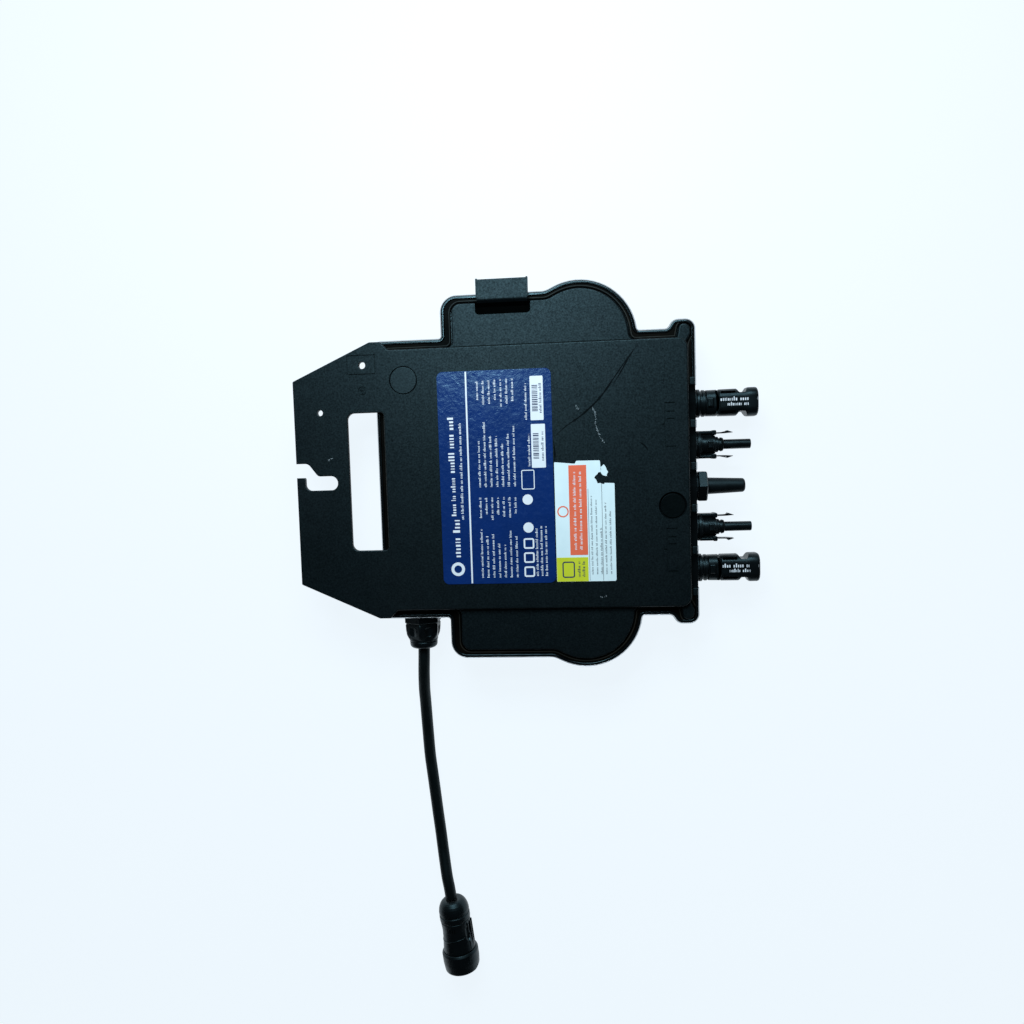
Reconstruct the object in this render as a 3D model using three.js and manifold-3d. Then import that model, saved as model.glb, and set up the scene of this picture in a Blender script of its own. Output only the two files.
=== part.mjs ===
// Two-input microinverter: a die-cast tray closed by a formed back cover that runs on
// as a mounting flange, with four DC connectors, an antenna stub and an AC pigtail.
// Millimetres, +Z up. It lies on its front face: +X points to the connectors, and
// -Y is the side where the AC cord leaves. The origin is the middle of the base.
import * as THREE from 'three';
import { mergeVertices } from 'three/addons/utils/BufferGeometryUtils.js';
import Module from 'manifold-3d';

const wasm = await Module();
wasm.setup();

// ---------------------------------------------------------------- driving dimensions
const GAP = 0.3; // running gap between pieces that rest on each other
const PAPER_GAP = 0.1; // gap under a stuck label
const OVERSHOOT = 1; // how far a cutting tool or a joined stub runs past the face it meets
const SMALLEST_ARC = 0.3;
const HALF_LENGTH = 131.5; // flange edge to connector tips is twice this
const HOOK_OFFSET = 1; // the body's centre line lies this far below the box's

const BULGE_SLOPE = THREE.MathUtils.degToRad(26); // line that runs into the round bulge
const BULGE_LEAN = THREE.MathUtils.degToRad(8); // lean of its far side where it meets the body
const BLEND_RADIUS = 10;
const TRAY = { left: -84.5, right: 96.4, half: 80.1, radius: 4, top: 32, foot: 1.5 };
const WALL = { floor: 3, inset: 2.6, ledgeLow: 26.3, ledgeTop: 29.7, ledgeInset: 8.3, lip: 1.6 };
const TRAY_BULGE = {
  left: -45.7, top: 103.9, centreX: 32.5, centreY: 77, round: 32.3, radius: 9.5, foot: 1.5,
};
const TRAY_LUG = { right: TRAY.right, top: 85.1, left: 84.2, root: 81.2, radius: 5.5, inner: 5 };
const GROOVE = { x: 6, length: 120, width: 5, depth: 1.2, pitch: 12, count: 11 };
const SEAL_THICKNESS = 1.5;

const COVER = { top: 36.1, sheet: 3, half: 74.4, right: 91.5, radius: 5.5, rim: 3.4 };
const PANEL = { low: 30, top: 33, left: -78.7, right: 91, lugFoot: 72, lugShoulder: 76.5 };
const PANEL_BULGE = {
  left: -39, top: 98.8, centreX: 32, centreY: 77, round: 27.3, radius: 5, foot: 4,
};
const PANEL_LUG = { right: 93.4, top: 82.2, left: 87.5, root: 86, radius: 3.5, inner: 2.6 };
const FLANGE = { half: 79, edgeHalf: 58.5, chamferX: -86, stepLeft: -79.9, stepRight: -75.4 };
const SLOT = { left: -100.4, right: -79, half: 39.4, leftRadius: 4, rightRadius: 2.3 };
const NOTCH = { half: 4.05, end: -107.4, fingerX: -126.6, fingerTop: 3.4, mouthTop: 11.5 };
const NOTCH_END_RADIUS = NOTCH.half - 0.05; // leaves a short flat between its two arcs
const NOTCH_RAMP = { top: -124.5, foot: -118.9 };
const FLANGE_HOLES = [
  { x: -116.1, y: 40.2, radius: 1.7 },
  { x: -90.6, y: 66.2, radius: 2 },
];
const PORT_BORE = 5;
const FILL_PORT = { x: -67.1, y: 56.9, radius: 7.6, depth: 1.5, sunk: 0 };
const VENT_PORT = { x: 82, y: -17.8, radius: 6.8, depth: 2, sunk: 0.8 };

const HOOK = { left: -24.3, right: 4.8, tip: 110.8, bend: 99.5, run: 3, foot: 92.6, sheet: 2 };
const HOOK_LIP = { width: 1, low: 32.6, tip: 111.3 };
const HOOK_POCKET = { margin: 1, back: 92, floor: 31.5 };

const CONNECTOR_Z = 18; // height of the openings in the connector wall
const CONNECTOR_PITCH = 23.5;
const ANTENNA_Y = -8;
const SHANK = { radius: 6, inside: -8 }; // threaded part that passes through the wall
const DC_FLANGE = { start: 1.4, end: 3.4, radius: 8 };
const DC_NUT = { radius: 8.6, thickness: 4 };
const DC_SOCKET = { radius: 7.9, end: 35.1, bore: 3.6, boreStart: 13 };
const SOCKET_SLIT = { start: 12, end: 22.8, low: 5, high: 6.3 };
const SOCKET_NOTCH = { start: 22.9, end: 29.1, slope: 2, depth: 2.4 };
const DC_PLUG = {
  core: 5, coreEnd: 15, neck: 3.8, neckEnd: 20, barrel: 2.75, end: 31.6, bore: 2.05, boreStart: 12,
};
const PLUG_RAIL = { low: 5.7, high: 7.6, width: 7, end: 12.2 };
const LATCH = { root: PLUG_RAIL.end + GAP, tip: 22, y: 6.6, sheet: 1.2, width: 5, barb: 0.7, barbLength: 3 };
const CONTACT = { pin: 1.1, setBack: 8, sleeve: 1.75, sleeveBore: 1.25 };

const LENS = { y: 59.4, radius: 3.8, shank: 3, inside: -3.6, height: 1.9 };
const ANTENNA = {
  hex: 9.6, hexEnd: 6.6, base: 4.8, tip: 3.9, round: 2.4, end: 28.2, shank: 4, inside: -7, seal: 8,
};
const COAX_RADIUS = 0.9;

const GLAND = { x: -65, z: 16, shank: 8, hex: 11.4, bodyEnd: 5, neck: 7, neckEnd: 12, bore: 4.6 };
const LOCK_NUT_RADIUS = 10.8;
const GLAND_NUT = { hex: 11.1, taperEnd: 14, taper: 9.8, ring: 8, round: 2, end: 20.4 };
const GLAND_SEAL = { inner: 3.2, outer: 4.3 };

const CORD_RADIUS = 3.5;
const CORD_SIDES = 10;
const CORD_STEPS = 26;
const PLUG = { x: -54.9, y: -259.5, z: 11.8, lean: THREE.MathUtils.degToRad(7.7) };
const PLUG_NUT = { mouth: 5, radius: 9.9, dome: 9, end: 12.5 };
const PLUG_BODY = { start: 9.4, waist: 9.2, waistAt: 20, end: 10.4, length: 33 };
const PLUG_FRONT = { end: 46, radius: 11.7, cavity: 8.5, cavityDepth: 6, chamfer: 1.4, insert: 4 };
const PLUG_PIN = { circle: 4.6, radius: 1.2, rooted: 3.4, outside: 3.5 };

const LABEL = { left: -47.9, right: 16.3, low: -59.6, high: 60.6, radius: 3.4, sheet: 0.3 };
const NOTICE = { left: 16.8, stepX: 42.4, right: 50.1, low: -59.2, high: 8.6, stepY: -4.1 };

const BOARD = { low: 8, top: 9.6, inset: 12 };
const BOSS = { radius: 4, bore: 1.8, screw: 1.5, screwFoot: WALL.floor + 0.5, head: 3, headHeight: 2 };
const BOSS_PLACES = [[-62, 58], [-62, -58], [70, 58], [70, -58]];
const ON_BOARD = BOARD.top + GAP;
const TRANSFORMER = { y: 74, flange: 22, flangeThickness: 3.5, winding: 18.5, height: 15.5 };
const CAPACITOR = { x: 62, rows: [20, -26], radius: 9, height: 15 };
const CONTROL_BOARD = { x: -38, y: 35, length: 40, width: 30, low: 20, thickness: 1.6 };
const HEADER = { x: -55, length: 3, width: 28 };
const FILM_CAPACITOR = { x: -12, y: 84, length: 26, width: 12, height: 14 };
const RELAY = { x: -18, y: -84, length: 28, width: 12, height: 15 };
const CHOKE = { x: -46, y: -40, inner: 6, outer: 13, height: 12 };
const SPREADER = { x: 10, y: 0, length: 70, width: 50, height: BOARD.low - WALL.floor - 2 * GAP };

// ---------------------------------------------------------------- materials
function paint(color, roughness, metalness = 0) {
  return new THREE.MeshStandardMaterial({ color, roughness, metalness });
}
const powderCoat = () => paint(0x1b2022, 0.62);
const glossBlack = () => paint(0x08090a, 0.22);
const blackPlastic = () => paint(0x0d0e10, 0.42);
const blackRubber = () => paint(0x121212, 0.8);
const tinnedCopper = () => paint(0xc9c4b8, 0.3, 1);
const steel = () => paint(0xb4b6b8, 0.35, 1);
const circuitBoard = () => paint(0x1d5a34, 0.5);

// ---------------------------------------------------------------- outlines
// A corner is [x, y, radius], and an outline's corners run counter-clockwise.
function mirrored(upperCorners) {
  const lowerCorners = upperCorners.map(([x, y, radius]) => [x, -y, radius]).reverse();
  return [...upperCorners, ...lowerCorners];
}

// Moves every edge of an outline inwards and keeps its arcs concentric.
function inset(corners, distance) {
  const count = corners.length;
  const direction = (i) => {
    const [ax, ay] = corners[i % count];
    const [bx, by] = corners[(i + 1) % count];
    return new THREE.Vector2(bx - ax, by - ay).normalize();
  };
  return corners.map(([x, y, radius], i) => {
    const before = direction(i + count - 1);
    const after = direction(i);
    const scale = distance / (1 + before.dot(after));
    const grown = before.cross(after) > 0 ? radius - distance : radius + distance;
    const shifted = [x - (before.y + after.y) * scale, y + (before.x + after.x) * scale];
    return [...shifted, Math.max(grown, SMALLEST_ARC)];
  });
}

// Turns corners into points: each corner becomes an arc, stepped to a small chord error.
function outline(corners, chordError = 0.15, coarsest = 0.3) {
  const count = corners.length;
  return corners.flatMap(([x, y, radius], i) => {
    const corner = new THREE.Vector2(x, y);
    if (radius === 0) {
      return [corner];
    }
    const [beforeX, beforeY] = corners[(i + count - 1) % count];
    const [afterX, afterY] = corners[(i + 1) % count];
    const incoming = new THREE.Vector2(x - beforeX, y - beforeY).normalize();
    const outgoing = new THREE.Vector2(afterX - x, afterY - y).normalize();
    const turn = Math.atan2(incoming.cross(outgoing), incoming.dot(outgoing));
    const start = corner.clone().addScaledVector(incoming, -radius * Math.tan(Math.abs(turn) / 2));
    const sideways = new THREE.Vector2(-incoming.y, incoming.x);
    const centre = start.clone().addScaledVector(sideways, Math.sign(turn) * radius);
    const stepAngle = 2 * Math.acos(1 - Math.min(chordError / radius, coarsest));
    const steps = Math.ceil(Math.abs(turn) / stepAngle);
    const arc = [];
    for (let k = 0; k <= steps; k += 1) {
      arc.push(start.clone().rotateAround(centre, (turn * k) / steps));
    }
    return arc;
  });
}

// Upper corners, right to left, of a long flat bulge that ends in a round one.
function bulgeCorners(bulge, half) {
  const { centreX, centreY, round, top, left, radius, foot } = bulge;
  const middle = (BULGE_LEAN + Math.PI / 2 + BULGE_SLOPE) / 2;
  const reach = round / Math.cos(middle - BULGE_LEAN);
  const peakX = centreX + reach * Math.cos(middle);
  const peakY = centreY + reach * Math.sin(middle);
  return [
    [peakX + (peakY - half) * Math.tan(BULGE_LEAN), half, foot],
    [peakX, peakY, round],
    [peakX - (peakY - top) / Math.tan(BULGE_SLOPE), top, BLEND_RADIUS],
    [left, top, radius],
    [left, half, foot],
  ];
}

function lugCorners(lug, half) {
  return [
    [lug.right, lug.top, lug.radius],
    [lug.left, lug.top, lug.inner],
    [lug.root, half, 1],
  ];
}

const trayOutline = mirrored([
  ...lugCorners(TRAY_LUG, TRAY.half),
  ...bulgeCorners(TRAY_BULGE, TRAY.half),
  [TRAY.left, TRAY.half, TRAY.radius],
]);
const cavityOutline = mirrored([
  [TRAY.right, TRAY.half, TRAY.radius],
  ...bulgeCorners(TRAY_BULGE, TRAY.half),
  [TRAY.left, TRAY.half, TRAY.radius],
]);
const panelOutline = mirrored([
  [PANEL.right, PANEL.lugFoot, 1],
  [PANEL_LUG.right, PANEL.lugShoulder, 1],
  ...lugCorners(PANEL_LUG, COVER.half),
  ...bulgeCorners(PANEL_BULGE, COVER.half),
  [PANEL.left, COVER.half, 3],
]);
const raisedOutline = mirrored([
  [PANEL.right, COVER.half, COVER.radius],
  [PANEL.left, COVER.half, COVER.radius],
]);
const coverOutline = mirrored([
  [COVER.right, COVER.half, COVER.radius],
  [FLANGE.stepRight, COVER.half, 1],
  [FLANGE.stepLeft, FLANGE.half, 1],
  [FLANGE.chamferX, FLANGE.half, 2],
  [-HALF_LENGTH, FLANGE.edgeHalf, 1],
]);
const slotOutline = [
  [SLOT.right, SLOT.half, SLOT.rightRadius],
  [SLOT.left, SLOT.half, SLOT.leftRadius],
  [SLOT.left, -SLOT.half, SLOT.leftRadius],
  [SLOT.right, -SLOT.half, SLOT.rightRadius],
];
const notchMouth = -HALF_LENGTH - OVERSHOOT;
const notchOutline = [
  [notchMouth, NOTCH.fingerTop, 0],
  [NOTCH.fingerX, NOTCH.fingerTop, 0.8],
  [NOTCH.fingerX, -NOTCH.half, 3.5],
  [NOTCH.end, -NOTCH.half, NOTCH_END_RADIUS],
  [NOTCH.end, NOTCH.half, NOTCH_END_RADIUS],
  [NOTCH_RAMP.foot, NOTCH.half, 3],
  [NOTCH_RAMP.top, NOTCH.mouthTop, 4],
  [notchMouth, NOTCH.mouthTop, 0],
];

// ---------------------------------------------------------------- geometry helpers
// Profile points of a quarter-round shoulder that closes from one radius to another.
function shoulder(start, end, fromRadius, toRadius, steps = 4) {
  const points = [];
  for (let k = 0; k <= steps; k += 1) {
    const angle = (Math.PI / 2) * (k / steps);
    const radius = toRadius + (fromRadius - toRadius) * Math.cos(angle);
    points.push([start + (end - start) * Math.sin(angle), radius]);
  }
  return points;
}

function extrude(points, low, high) {
  const shape = new THREE.Shape(points);
  const options = { depth: high - low, bevelEnabled: false };
  return new THREE.ExtrudeGeometry(shape, options).translate(0, 0, low);
}

function block(width, depth, height, x, y, low) {
  return new THREE.BoxGeometry(width, depth, height).translate(x, y, low + height / 2);
}

// A piece turned about the X axis; each profile point is [along, radius].
function turned(profile, segments = 20) {
  const points = profile.map(([along, radius]) => new THREE.Vector2(radius, along));
  return new THREE.LatheGeometry(points, segments).rotateZ(-Math.PI / 2);
}

function rod(radius, start, end, segments = 20) {
  return turned([[start, 0], [start, radius], [end, radius], [end, 0]], segments);
}

function ring(inner, outer, start, end, segments = 20) {
  const profile = [[start, inner], [start, outer], [end, outer], [end, inner], [start, inner]];
  return turned(profile, segments);
}

// Turns a six-sided piece, whose corners face up and down, so that its flats do.
const flatsUp = (geometry) => geometry.rotateX(Math.PI / 6);

const standing = (geometry, x, y) => geometry.rotateY(-Math.PI / 2).translate(x, y, 0);

function tube(points, radius, sides, steps) {
  const path = new THREE.CatmullRomCurve3(points.map((place) => new THREE.Vector3(...place)));
  const section = [];
  for (let k = 0; k < sides; k += 1) {
    const angle = (2 * Math.PI * k) / sides;
    section.push(new THREE.Vector2(radius * Math.cos(angle), radius * Math.sin(angle)));
  }
  const options = { steps, extrudePath: path, bevelEnabled: false };
  return new THREE.ExtrudeGeometry(new THREE.Shape(section), options);
}

function solid(geometry) {
  const bare = geometry.clone();
  bare.deleteAttribute('normal');
  bare.deleteAttribute('uv');
  const merged = mergeVertices(bare, 1e-4);
  return new wasm.Manifold(new wasm.Mesh({
    numProp: 3,
    vertProperties: merged.attributes.position.array,
    triVerts: new Uint32Array(merged.index.array),
  }));
}

function surface(manifold) {
  const mesh = manifold.getMesh();
  const geometry = new THREE.BufferGeometry();
  geometry.setAttribute('position', new THREE.BufferAttribute(mesh.vertProperties, 3));
  geometry.setIndex(new THREE.BufferAttribute(mesh.triVerts, 1));
  geometry.computeVertexNormals();
  return geometry;
}

const prism = (corners, low, high) => solid(extrude(outline(corners), low, high));

const join = (first, ...others) => others.reduce((sum, next) => sum.add(solid(next)), solid(first));

const cut = (body, ...tools) => tools.reduce((rest, tool) => rest.subtract(solid(tool)), body);

const inverter = new THREE.Group();
inverter.position.set(0, -HOOK_OFFSET, 0);

function piece(name, geometry, material, parent = inverter) {
  const mesh = new THREE.Mesh(geometry, material);
  mesh.name = name;
  parent.add(mesh);
}

// A group whose +X axis points away from the face that it is fixed to.
function outwards(x, y, z, turn = 0) {
  const group = new THREE.Group();
  group.position.set(x, y, z);
  group.rotation.z = turn;
  inverter.add(group);
  return group;
}

// ---------------------------------------------------------------- tray, cover and seal
const rows = [2, 1, -1, -2].map((step) => ANTENNA_Y + step * CONNECTOR_PITCH);
const [socketRow1, plugRow1, plugRow2, socketRow2] = rows;

function wallBore(radius, y) {
  return rod(radius + GAP, -2 * WALL.inset, 2 * WALL.inset).translate(TRAY.right, y, CONNECTOR_Z);
}

function housingTray() {
  const foot = prism(inset(trayOutline, TRAY.foot), 0, TRAY.foot);
  const shell = foot.add(prism(trayOutline, TRAY.foot, TRAY.top))
    .subtract(prism(inset(cavityOutline, WALL.inset), WALL.floor, WALL.ledgeLow))
    .subtract(prism(inset(cavityOutline, WALL.ledgeInset), WALL.floor, TRAY.top))
    .subtract(prism(inset(trayOutline, WALL.lip), WALL.ledgeTop, TRAY.top + OVERSHOOT));
  const glandBore = rod(GLAND.shank + GAP, -2 * WALL.inset, 2 * WALL.inset).rotateZ(Math.PI / 2);
  const grooves = [];
  for (let k = 0; k < GROOVE.count; k += 1) {
    const y = (k - (GROOVE.count - 1) / 2) * GROOVE.pitch;
    grooves.push(block(GROOVE.length, GROOVE.width, GROOVE.depth * 2, GROOVE.x, y, -GROOVE.depth));
  }
  const bored = cut(
    shell,
    ...rows.map((y) => wallBore(SHANK.radius, y)),
    wallBore(ANTENNA.shank, ANTENNA_Y),
    wallBore(LENS.shank, LENS.y),
    glandBore.translate(GLAND.x, -TRAY.half, GLAND.z),
    ...grooves,
  );
  const bosses = BOSS_PLACES.map(([x, y]) => (
    standing(ring(BOSS.bore, BOSS.radius, WALL.floor - OVERSHOOT, BOARD.low - GAP), x, y)
  ));
  return surface(bosses.reduce((sum, boss) => sum.add(solid(boss)), bored));
}

function portSeat(port) {
  const floor = COVER.top - port.depth;
  return [
    standing(rod(port.radius + GAP, floor, COVER.top + OVERSHOOT), port.x, port.y),
    standing(rod(PORT_BORE, PANEL.low, floor + OVERSHOOT), port.x, port.y),
  ];
}

function backCover() {
  const sheetLow = COVER.top - COVER.sheet;
  const hollowLeft = PANEL.left + COVER.rim;
  const hollowWidth = PANEL.right - COVER.rim - hollowLeft;
  const hollowDepth = 2 * (COVER.half - COVER.rim);
  const hollow = block(hollowWidth, hollowDepth, sheetLow - PANEL.low + OVERSHOOT,
    hollowLeft + hollowWidth / 2, 0, PANEL.low - OVERSHOOT);
  const pocketWidth = HOOK.right - HOOK.left + 2 * HOOK_POCKET.margin;
  const pocketDepth = PANEL_BULGE.top + OVERSHOOT - HOOK_POCKET.back;
  const pocket = block(pocketWidth, pocketDepth, COVER.top - HOOK_POCKET.floor,
    (HOOK.left + HOOK.right) / 2, HOOK_POCKET.back + pocketDepth / 2, HOOK_POCKET.floor);
  const formed = prism(coverOutline, sheetLow, COVER.top)
    .add(prism(raisedOutline, PANEL.low, COVER.top - OVERSHOOT))
    .add(prism(panelOutline, PANEL.low, PANEL.top))
    .subtract(prism(slotOutline, sheetLow - OVERSHOOT, COVER.top + OVERSHOOT))
    .subtract(prism(notchOutline, sheetLow - OVERSHOOT, COVER.top + OVERSHOOT));
  return surface(cut(
    formed,
    hollow,
    pocket,
    ...FLANGE_HOLES.map((hole) => (
      standing(rod(hole.radius, sheetLow - OVERSHOOT, COVER.top + OVERSHOOT, 16), hole.x, hole.y)
    )),
    ...portSeat(FILL_PORT),
    ...portSeat(VENT_PORT),
  ));
}

function portPlug(port) {
  const low = COVER.top - port.depth + GAP;
  const stemLow = COVER.top - COVER.sheet;
  const stem = PORT_BORE - GAP;
  const profile = [[stemLow, 0], [stemLow, stem], [low, stem], [low, port.radius],
    [COVER.top - port.sunk, port.radius], [COVER.top - port.sunk, 0]];
  return standing(turned(profile, 28), port.x, port.y);
}

function perimeterSeal() {
  const low = WALL.ledgeTop + GAP;
  const high = low + SEAL_THICKNESS;
  const outer = prism(inset(trayOutline, WALL.lip + GAP), low, high);
  return surface(outer.subtract(prism(inset(panelOutline, -GAP), low - OVERSHOOT, high + OVERSHOOT)));
}

function edgeHook() {
  const low = HOOK_POCKET.floor + GAP;
  const under = COVER.top - HOOK.sheet;
  const slant = HOOK.sheet / 3; // keeps the slanted run about as thick as the rest
  const profile = [
    [HOOK.foot, low], [HOOK.bend - HOOK.run + slant, low], [HOOK.bend + slant, under],
    [HOOK.tip, under], [HOOK.tip, COVER.top], [HOOK.bend, COVER.top],
    [HOOK.bend - HOOK.run, low + HOOK.sheet], [HOOK.foot, low + HOOK.sheet],
  ];
  const points = profile.map(([y, z]) => new THREE.Vector2(y, z));
  const width = HOOK.right - HOOK.left;
  const strip = extrude(points, 0, width).rotateY(Math.PI / 2).rotateX(Math.PI / 2)
    .translate(HOOK.left, 0, 0);
  const lipDepth = HOOK_LIP.tip - HOOK.bend - HOOK_LIP.width;
  const lips = [HOOK.left + HOOK_LIP.width / 2, HOOK.right - HOOK_LIP.width / 2].map((x) => (
    block(HOOK_LIP.width, lipDepth, COVER.top - HOOK_LIP.low, x, HOOK_LIP.tip - lipDepth / 2,
      HOOK_LIP.low)
  ));
  return surface(join(strip, ...lips));
}

piece('housing_tray', housingTray(), glossBlack());
piece('back_cover', backCover(), powderCoat());
piece('perimeter_seal', perimeterSeal(), blackRubber());
piece('edge_hook', edgeHook(), powderCoat());
piece('fill_port_plug', portPlug(FILL_PORT), powderCoat());
piece('vent_port_plug', portPlug(VENT_PORT), blackRubber());

// ---------------------------------------------------------------- labels
const labelLow = COVER.top + PAPER_GAP;
const labelOutline = [
  [LABEL.right, LABEL.high, LABEL.radius],
  [LABEL.left, LABEL.high, LABEL.radius],
  [LABEL.left, LABEL.low, LABEL.radius],
  [LABEL.right, LABEL.low, LABEL.radius],
];
const noticeOutline = [
  [NOTICE.right, NOTICE.stepY, 0.5],
  [NOTICE.stepX, NOTICE.stepY, 0],
  [NOTICE.stepX, NOTICE.high, 0],
  [NOTICE.left, NOTICE.high, 0.5],
  [NOTICE.left, NOTICE.low, 0.5],
  [NOTICE.right, NOTICE.low, 1],
];
const sticker = (corners) => extrude(outline(corners), labelLow, labelLow + LABEL.sheet);
piece('rating_label', sticker(labelOutline), paint(0x16328c, 0.4));
piece('notice_label', sticker(noticeOutline), paint(0xe8e9ea, 0.5));

// ---------------------------------------------------------------- DC connectors
function connectorSeal(parent, name) {
  const seal = ring(SHANK.radius + GAP, DC_FLANGE.radius - GAP, GAP, DC_FLANGE.start - GAP);
  piece(name, seal, blackRubber(), parent);
}

function panelNut(parent, name) {
  const start = -WALL.inset - GAP - DC_NUT.thickness;
  const nut = solid(flatsUp(rod(DC_NUT.radius, start, start + DC_NUT.thickness, 6)));
  const bore = rod(SHANK.radius + GAP, start - OVERSHOOT, start + DC_NUT.thickness + OVERSHOOT);
  piece(name, surface(cut(nut, bore)), blackPlastic(), parent);
}

const wallPart = [
  [SHANK.inside, 0], [SHANK.inside, SHANK.radius], [DC_FLANGE.start, SHANK.radius],
  [DC_FLANGE.start, DC_FLANGE.radius], [DC_FLANGE.end, DC_FLANGE.radius],
];

function socketBody() {
  const { radius, end, bore, boreStart } = DC_SOCKET;
  const profile = [...wallPart, [DC_FLANGE.end, radius], [end - 1, radius], [end, radius - 0.8],
    [end, bore], [boreStart, bore], [boreStart, 0]];
  const tools = [1, -1].flatMap((side) => {
    const slitMiddle = side * (SOCKET_SLIT.low + SOCKET_SLIT.high) / 2;
    const slit = block(SOCKET_SLIT.end - SOCKET_SLIT.start, SOCKET_SLIT.high - SOCKET_SLIT.low,
      4 * radius, (SOCKET_SLIT.start + SOCKET_SLIT.end) / 2, slitMiddle, -2 * radius);
    const { start, end: stop, slope, depth } = SOCKET_NOTCH;
    const wedge = [[start, radius + 1], [start + slope, radius - depth],
      [stop - slope, radius - depth], [stop, radius + 1]];
    const points = wedge.map(([x, y]) => new THREE.Vector2(x, side * y));
    return [slit, extrude(points, -radius, radius)];
  });
  return surface(cut(solid(turned(profile, 28)), ...tools));
}

function plugBody() {
  const { core, coreEnd, neck, neckEnd, barrel, end, bore, boreStart } = DC_PLUG;
  const profile = [...wallPart, [DC_FLANGE.end, core], [coreEnd, core], [coreEnd, neck],
    [neckEnd, neck - 0.4], [neckEnd, barrel], [end, barrel], [end, bore], [boreStart, bore],
    [boreStart, 0]];
  const railLength = PLUG_RAIL.end - DC_FLANGE.end + OVERSHOOT;
  const rails = [1, -1].map((side) => (
    block(railLength, PLUG_RAIL.high - PLUG_RAIL.low, PLUG_RAIL.width, PLUG_RAIL.end - railLength / 2,
      side * (PLUG_RAIL.low + PLUG_RAIL.high) / 2, -PLUG_RAIL.width / 2)
  ));
  return surface(join(turned(profile, 24), ...rails));
}

// A flat spring finger with a barb at its tip, on the side that side names.
function latchArm(side) {
  const inner = LATCH.y - LATCH.sheet / 2;
  const outer = LATCH.y + LATCH.sheet / 2;
  const barbRoot = LATCH.tip - LATCH.barbLength;
  const profile = [[LATCH.root, inner], [LATCH.tip, inner], [LATCH.tip, outer],
    [barbRoot, outer + LATCH.barb], [barbRoot, outer], [LATCH.root, outer]];
  const points = profile.map(([x, y]) => new THREE.Vector2(x, side * y));
  return extrude(points, -LATCH.width / 2, LATCH.width / 2);
}

[socketRow1, socketRow2].forEach((y, i) => {
  const socket = outwards(TRAY.right, y, CONNECTOR_Z);
  const pin = rod(CONTACT.pin, DC_SOCKET.boreStart + GAP, DC_SOCKET.end - CONTACT.setBack, 12);
  piece(`dc_socket_${i + 1}`, socketBody(), blackPlastic(), socket);
  piece(`dc_socket_pin_${i + 1}`, pin, tinnedCopper(), socket);
  connectorSeal(socket, `dc_socket_seal_${i + 1}`);
  panelNut(socket, `dc_socket_nut_${i + 1}`);
});

[plugRow1, plugRow2].forEach((y, i) => {
  const plug = outwards(TRAY.right, y, CONNECTOR_Z);
  const sleeve = ring(CONTACT.sleeveBore, CONTACT.sleeve, DC_PLUG.boreStart + GAP, DC_PLUG.end - 1, 12);
  piece(`dc_plug_${i + 1}`, plugBody(), blackPlastic(), plug);
  piece(`dc_plug_sleeve_${i + 1}`, sleeve, tinnedCopper(), plug);
  connectorSeal(plug, `dc_plug_seal_${i + 1}`);
  panelNut(plug, `dc_plug_nut_${i + 1}`);
  piece(`latch_arm_${i + 1}_upper`, latchArm(1), blackPlastic(), plug);
  piece(`latch_arm_${i + 1}_lower`, latchArm(-1), blackPlastic(), plug);
});

// ---------------------------------------------------------------- lens and antenna
const lensProfile = [[LENS.inside, 0], [LENS.inside, LENS.shank], [GAP, LENS.shank],
  ...shoulder(GAP, LENS.height, LENS.radius, 0)];
const lensPlace = outwards(TRAY.right, LENS.y, CONNECTOR_Z);
piece('status_lens', turned(lensProfile), paint(0x3a3f42, 0.15), lensPlace);

const antenna = outwards(TRAY.right, ANTENNA_Y, CONNECTOR_Z);
const antennaHex = rod(ANTENNA.hex, DC_FLANGE.start, ANTENNA.hexEnd, 6);
const antennaShank = rod(ANTENNA.shank, ANTENNA.inside, DC_FLANGE.start + OVERSHOOT);
const stubStart = ANTENNA.hexEnd + GAP;
const stubProfile = [[stubStart, 0], [stubStart, ANTENNA.base],
  ...shoulder(ANTENNA.end - ANTENNA.round, ANTENNA.end, ANTENNA.tip, 0)];
piece('antenna_base', surface(join(antennaHex, antennaShank)), blackPlastic(), antenna);
piece('antenna_stub', turned(stubProfile), blackRubber(), antenna);
const antennaSeal = ring(ANTENNA.shank + GAP, ANTENNA.seal, GAP, DC_FLANGE.start - GAP);
piece('antenna_seal', antennaSeal, blackRubber(), antenna);

const coaxRoute = [
  [TRAY.right + ANTENNA.inside - GAP, ANTENNA_Y, CONNECTOR_Z], [72, -6, 21], [44, 3, 23.5],
  [14, 18, 23.5], [-10, 31, 22.9], [-24, 35, 22.9],
];
piece('antenna_coax', tube(coaxRoute, COAX_RADIUS, 8, 16), blackRubber());

// ---------------------------------------------------------------- cable gland
const gland = outwards(GLAND.x, -TRAY.half, GLAND.z, -Math.PI / 2);
const glandHex = rod(GLAND.hex, GAP, GLAND.bodyEnd, 6);
const glandNeck = rod(GLAND.neck, GLAND.bodyEnd - OVERSHOOT, GLAND.neckEnd);
const glandShank = rod(GLAND.shank, SHANK.inside, GAP + OVERSHOOT);
const throughGland = (radius) => rod(radius, SHANK.inside - OVERSHOOT, GLAND_NUT.end + OVERSHOOT);
const glandBody = cut(join(glandHex, glandNeck, glandShank), throughGland(GLAND.bore));
piece('gland_body', surface(glandBody), blackPlastic(), gland);

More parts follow.
